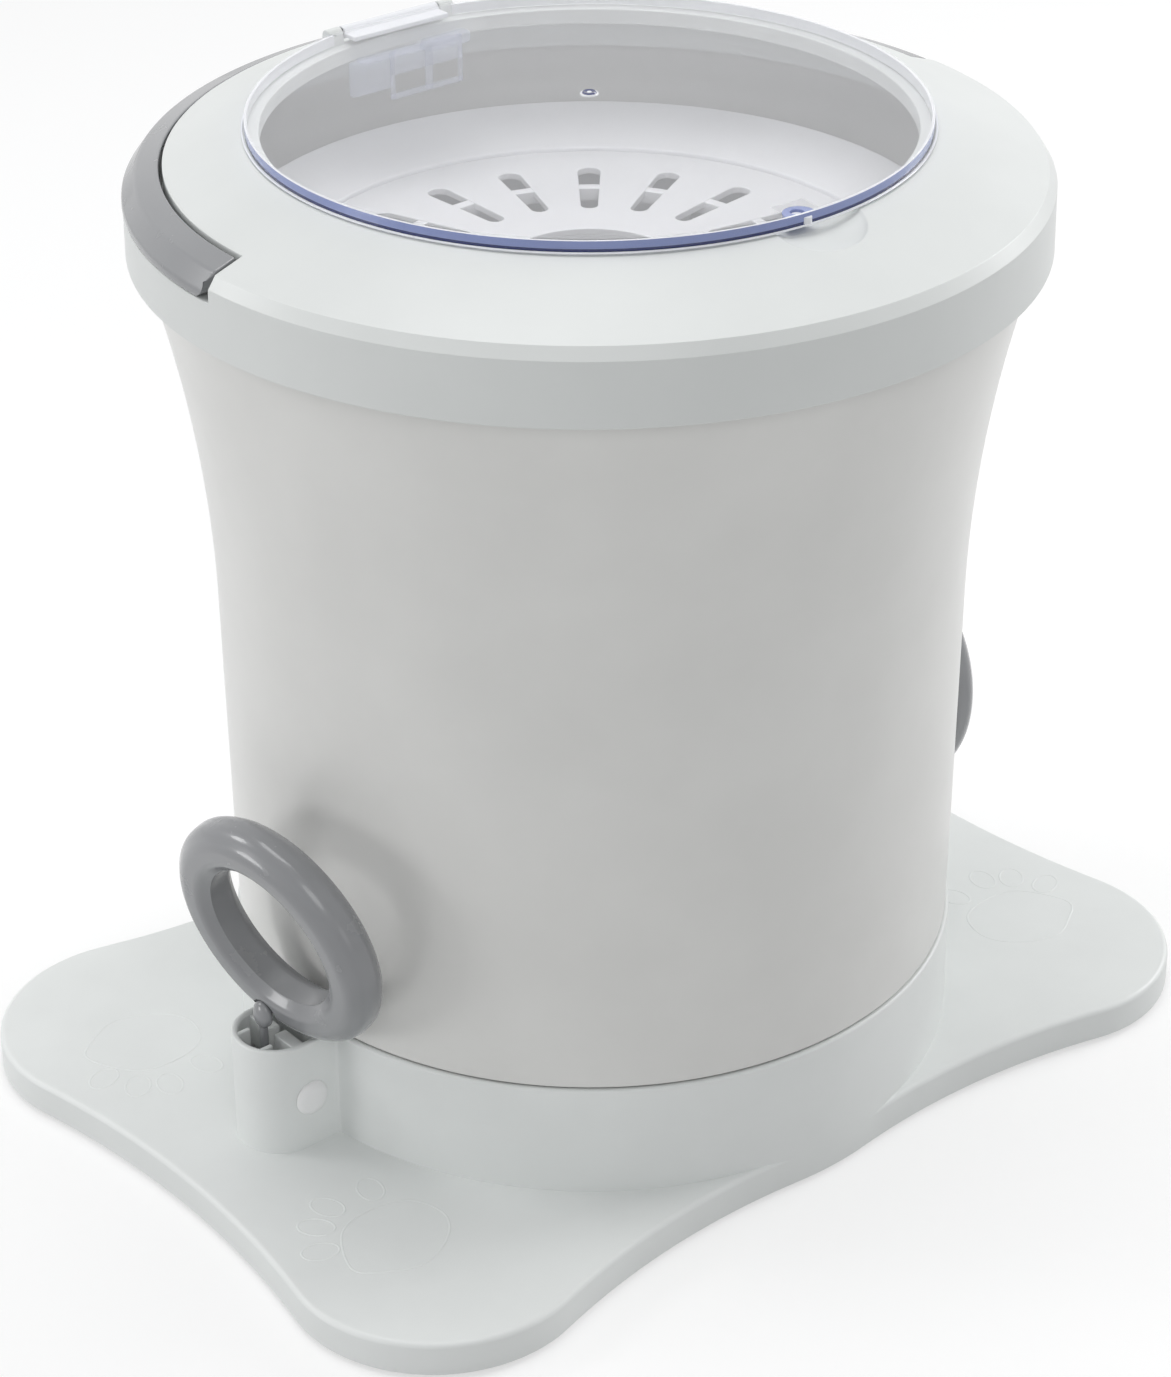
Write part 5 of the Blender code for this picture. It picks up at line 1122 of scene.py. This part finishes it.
def dress_lid(piece, *nodes):
    dress(with_cover(piece), "lid", "clear_plastic", *nodes)


def make_clear_dome():
    """The domed clear shell with its inner skirt and the thin flange it rests on, white as a painted
    highlight, the bright line along the lid's foot.
    """
    outer = [(DOME_R * k / 28.0, DOME_TOP_Z - DOME_DROP * (k / 28.0) ** 2) for k in range(29)] + LID_SKIRT
    inside_z = DOME_TOP_Z - DOME_THICK
    inside = [(SKIRT_IN_R * k / 24.0, inside_z - DOME_DROP * (k / 25.2) ** 2) for k in range(24, -1, -1)]
    outline = rounded(outer + inside, [0.0] * 28 + LID_SKIRT_FILLETS + [0.0] * 24, 5)
    lid = Shell().lathe(outline, 320).piece("clear_dome", DOME, weighted=False)
    for low, high in (FLAT_CUT, SKIRT_CUT):
        cut_away(lid, box_cutter(low, high))
    lid.data.materials.clear()
    for material in (DOME, DOME_INSIDE, FROST_AND_GLINT):
        lid.data.materials.append(material)
    for face in lid.data.polygons:
        middle = face.center / MM
        radius = hypot(middle.x, middle.y)
        by_latch = radius > 104.5 and abs(middle.x - LATCH_X) < 6.5 and middle.y < 0.0
        # The flange's faces take the white: a painted highlight, the bright line along the lid's foot.
        if radius > FLANGE_R and middle.z < FLANGE_Z:
            face.material_index = 2
        elif face.normal.z > 0.5 and radius < HAZE_R and not by_latch:
            face.material_index = 0
        else:
            face.material_index = 1
    even(lid, 32.0)
    dress_lid(lid, "clear_lid")


def make_lid_band():
    """The lid's edge wall: blue outside, with a navy lower edge that is painted shade of the gap below it,
    and white on top, inside and underneath as a painted highlight along its edges.
    """
    gap = acos((LID_CHORD - 0.2) / BAND[0][0])
    rows = []
    for k in range(301):
        turn = QUARTER + gap + (TURN - 2.0 * gap) * k / 300.0
        rows.append([(r * cos(turn), r * sin(turn), z) for r, z in BAND])
    shell = Shell().grid(rows)
    shell.marks = [BAND_MARKS[k % len(BAND)] for k in range(len(shell.faces))]
    shell.cap(rows[0], 2).cap(rows[-1], 2)
    dress_lid(shell.piece("lid_edge_band", RIM, NAVY_AND_GAP_SHADE, FROST_AND_GLINT))


def make_lid_latch():
    """The blue tongue in front, with its hole and its foot, and the small white pegs before it, which are
    painted glints for the two bright dots there.
    """
    x, y, half = LATCH_X, LATCH_Y, LATCH_HALF
    hole = [(x + px, y + HOLE_SHIFT + py) for px, py in circle(HOLE_R, 32)]
    tongue = [(x + half, -113.1), (x - half, -113.1)] + arc((x, y), half, pi, 0.0, 24)
    foot = arc((x, y), half, pi - 0.44, 0.44, 20)
    bottom, middle, top = LATCH_LEVELS
    for name, outline, holes, low, high in (
            ("lid_latch", tongue, [hole], middle, top), ("lid_latch_foot", foot, [], bottom, middle)):
        dress_lid(plate_with_holes(name, RIM, outline, holes, low, high, 0.25))
    glint_pegs = Shell()
    for spot, radius, low, high in GLINT_PEGS:
        outline = [(0.0, low), (radius, low), (radius, high), (0.0, high)]
        glint_pegs.lathe(rounded(outline, [0.0, 0.0, 0.4, 0.0], 4), 32, spot)
    dress_lid(glint_pegs.piece("lid_glint_peg", FROST_AND_GLINT))


def make_lid_hinge():
    """The lid's clear barrel with its tab, and the block and the small window frame under it."""
    barrel = Shell().lathe(rounded(BARREL, [0.2, 0.5, 0.5, 0.2], 4), 40)
    barrel.moved(Matrix.Translation((0.0, HINGE_Y, HINGE_Z)) @ Matrix.Rotation(QUARTER, 4, "Y"))
    barrel.block(*BARREL_TAB, 0.5)
    dress_lid(barrel.piece("lid_knuckle", FROST_AND_GLINT))
    block = Shell()
    for low, high, bevel in HINGE_PARTS:
        block.block(low, high, bevel)
    dress_lid(block.piece("lid_hinge_block", BLOCK))


def make_lid_nub():
    """The small grommet in the middle of the lid."""
    shell = Shell().lathe(NUB, 48)
    shell.marks = [NUB_MARKS[k % len(NUB)] for k in range(len(shell.faces))]
    dress_lid(shell.piece("lid_nub", NAVY_AND_GAP_SHADE, FROST_AND_GLINT))


make_clear_dome()
make_lid_band()
make_lid_latch()
make_lid_hinge()
make_lid_nub()


# Carried-over nodes

# Each finish, and how the names of the nodes that take it begin.
FINISHES = (
    (PLATE, "bottom_cover"),
    (DARK_GREY, "spring_housing", "tub_bush"),
    (RUBBER, "shaft_seal", "foot"),
    (INNER, "spin_basket"),
    (GREY, "rope_wheel", "drive_cup", "hub_nut"),
    (BUTTON, "pulley_left", "pulley_right"),
    (STEEL, "base_screw", "centre_axle", "return_spring", "pulley_axle", "spindle", "handle_pin",
     "lid_hinge_pin"),
)
for name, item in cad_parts.items():
    for material, *starts in FINISHES:
        if name.startswith(tuple(starts)):
            item.data.materials.clear()
            item.data.materials.append(material)


# Floor and light

FLOOR_REACH, FLOOR_Z = 6.0, -0.0003
FLOOR_BOUNCE, FLOOR_SEEN, FLOOR_GLOW = 0.70, 0.47, 0.55
LAMP_TARGET = Vector((0.0, 0.0, 0.15))


def seen_directly(tree):
    """Returns 1 for rays from the camera, a mirror or through glass, and 0 for the light's own."""
    path = node(tree, "ShaderNodeLightPath")
    result = path.outputs["Is Camera Ray"]
    for other in ("Is Glossy Ray", "Is Transmission Ray"):
        most = node(tree, "ShaderNodeMath", operation="MAXIMUM")
        tree.links.new(result, most.inputs[0])
        tree.links.new(path.outputs[other], most.inputs[1])
        result = most.outputs[0]
    return result


def make_floor():
    """A floor that looks white, and that throws back a plain paper's light."""
    mesh = bpy.data.meshes.new("floor")
    corners = [(x * FLOOR_REACH, y * FLOOR_REACH, FLOOR_Z) for x, y in ((-1, -1), (1, -1), (1, 1), (-1, 1))]
    mesh.from_pydata(corners, [], [(0, 1, 2, 3)])
    material, tree, shader, _ = surface("floor_paper")
    seen = seen_directly(tree)
    tint = blend_color(tree, seen, (FLOOR_BOUNCE,) * 3, (FLOOR_SEEN,) * 3)
    tree.links.new(tint, shader.inputs["Base Color"])
    glow = spread(tree, seen, low=0.0, high=FLOOR_GLOW, start=0.0, end=1.0)
    tree.links.new(glow, shader.inputs["Emission Strength"])
    put(shader, Roughness=0.9, Specular_IOR_Level=0.0, Emission_Color=(1.0, 1.0, 1.0, 1.0))
    mesh.materials.append(material)
    placed("floor", mesh)


def make_world():
    world = bpy.data.worlds.new("studio")
    bpy.context.scene.world = world
    world.use_nodes = True
    tree = world.node_tree
    tree.nodes.clear()
    out = node(tree, "ShaderNodeOutputWorld")
    light = node(tree, "ShaderNodeBackground")
    put(light, Color=(0.97, 0.985, 1.0, 1.0), Strength=0.315)
    seen = node(tree, "ShaderNodeBackground")
    put(seen, Color=(1.0, 1.0, 1.0, 1.0), Strength=1.0)
    mix = node(tree, "ShaderNodeMixShader")
    tree.links.new(seen_directly(tree), mix.inputs[0])
    tree.links.new(light.outputs[0], mix.inputs[1])
    tree.links.new(seen.outputs[0], mix.inputs[2])
    tree.links.new(mix.outputs[0], out.inputs["Surface"])


def add_lamp(name, direction, distance, size, power):
    """Adds a soft area lamp, its direction given as right, away and up from the camera."""
    across, away = level_directions()
    heading = across * direction[0] + away * direction[1] + Vector((0.0, 0.0, direction[2]))
    heading.normalize()
    data = bpy.data.lights.new(name, "AREA")
    data.shape = "DISK"
    data.size = size
    data.energy = power
    turn = heading.to_track_quat("Z", "Y").to_matrix().to_4x4()
    placed(name, data).matrix_world = Matrix.Translation(LAMP_TARGET + heading * distance) @ turn


make_floor()
make_world()
add_lamp("left_low", (-1.0, -0.30, 0.03), distance=2.2, size=0.7, power=8.0)
add_lamp("left_high", (-1.0, 0.10, 0.60), distance=2.2, size=0.6, power=7.0)
add_lamp("right_high", (1.0, 0.60, 0.60), distance=2.4, size=1.2, power=22.0)
add_lamp("top", (-0.10, 0.10, 1.0), distance=2.4, size=1.6, power=25.0)
add_lamp("right_low", (0.60, -0.75, 0.06), distance=2.4, size=1.0, power=1.8)
add_lamp("front_high", (0.10, -1.0, 0.75), distance=2.6, size=1.2, power=9.0)

bpy.context.scene.view_settings.view_transform = "Standard"
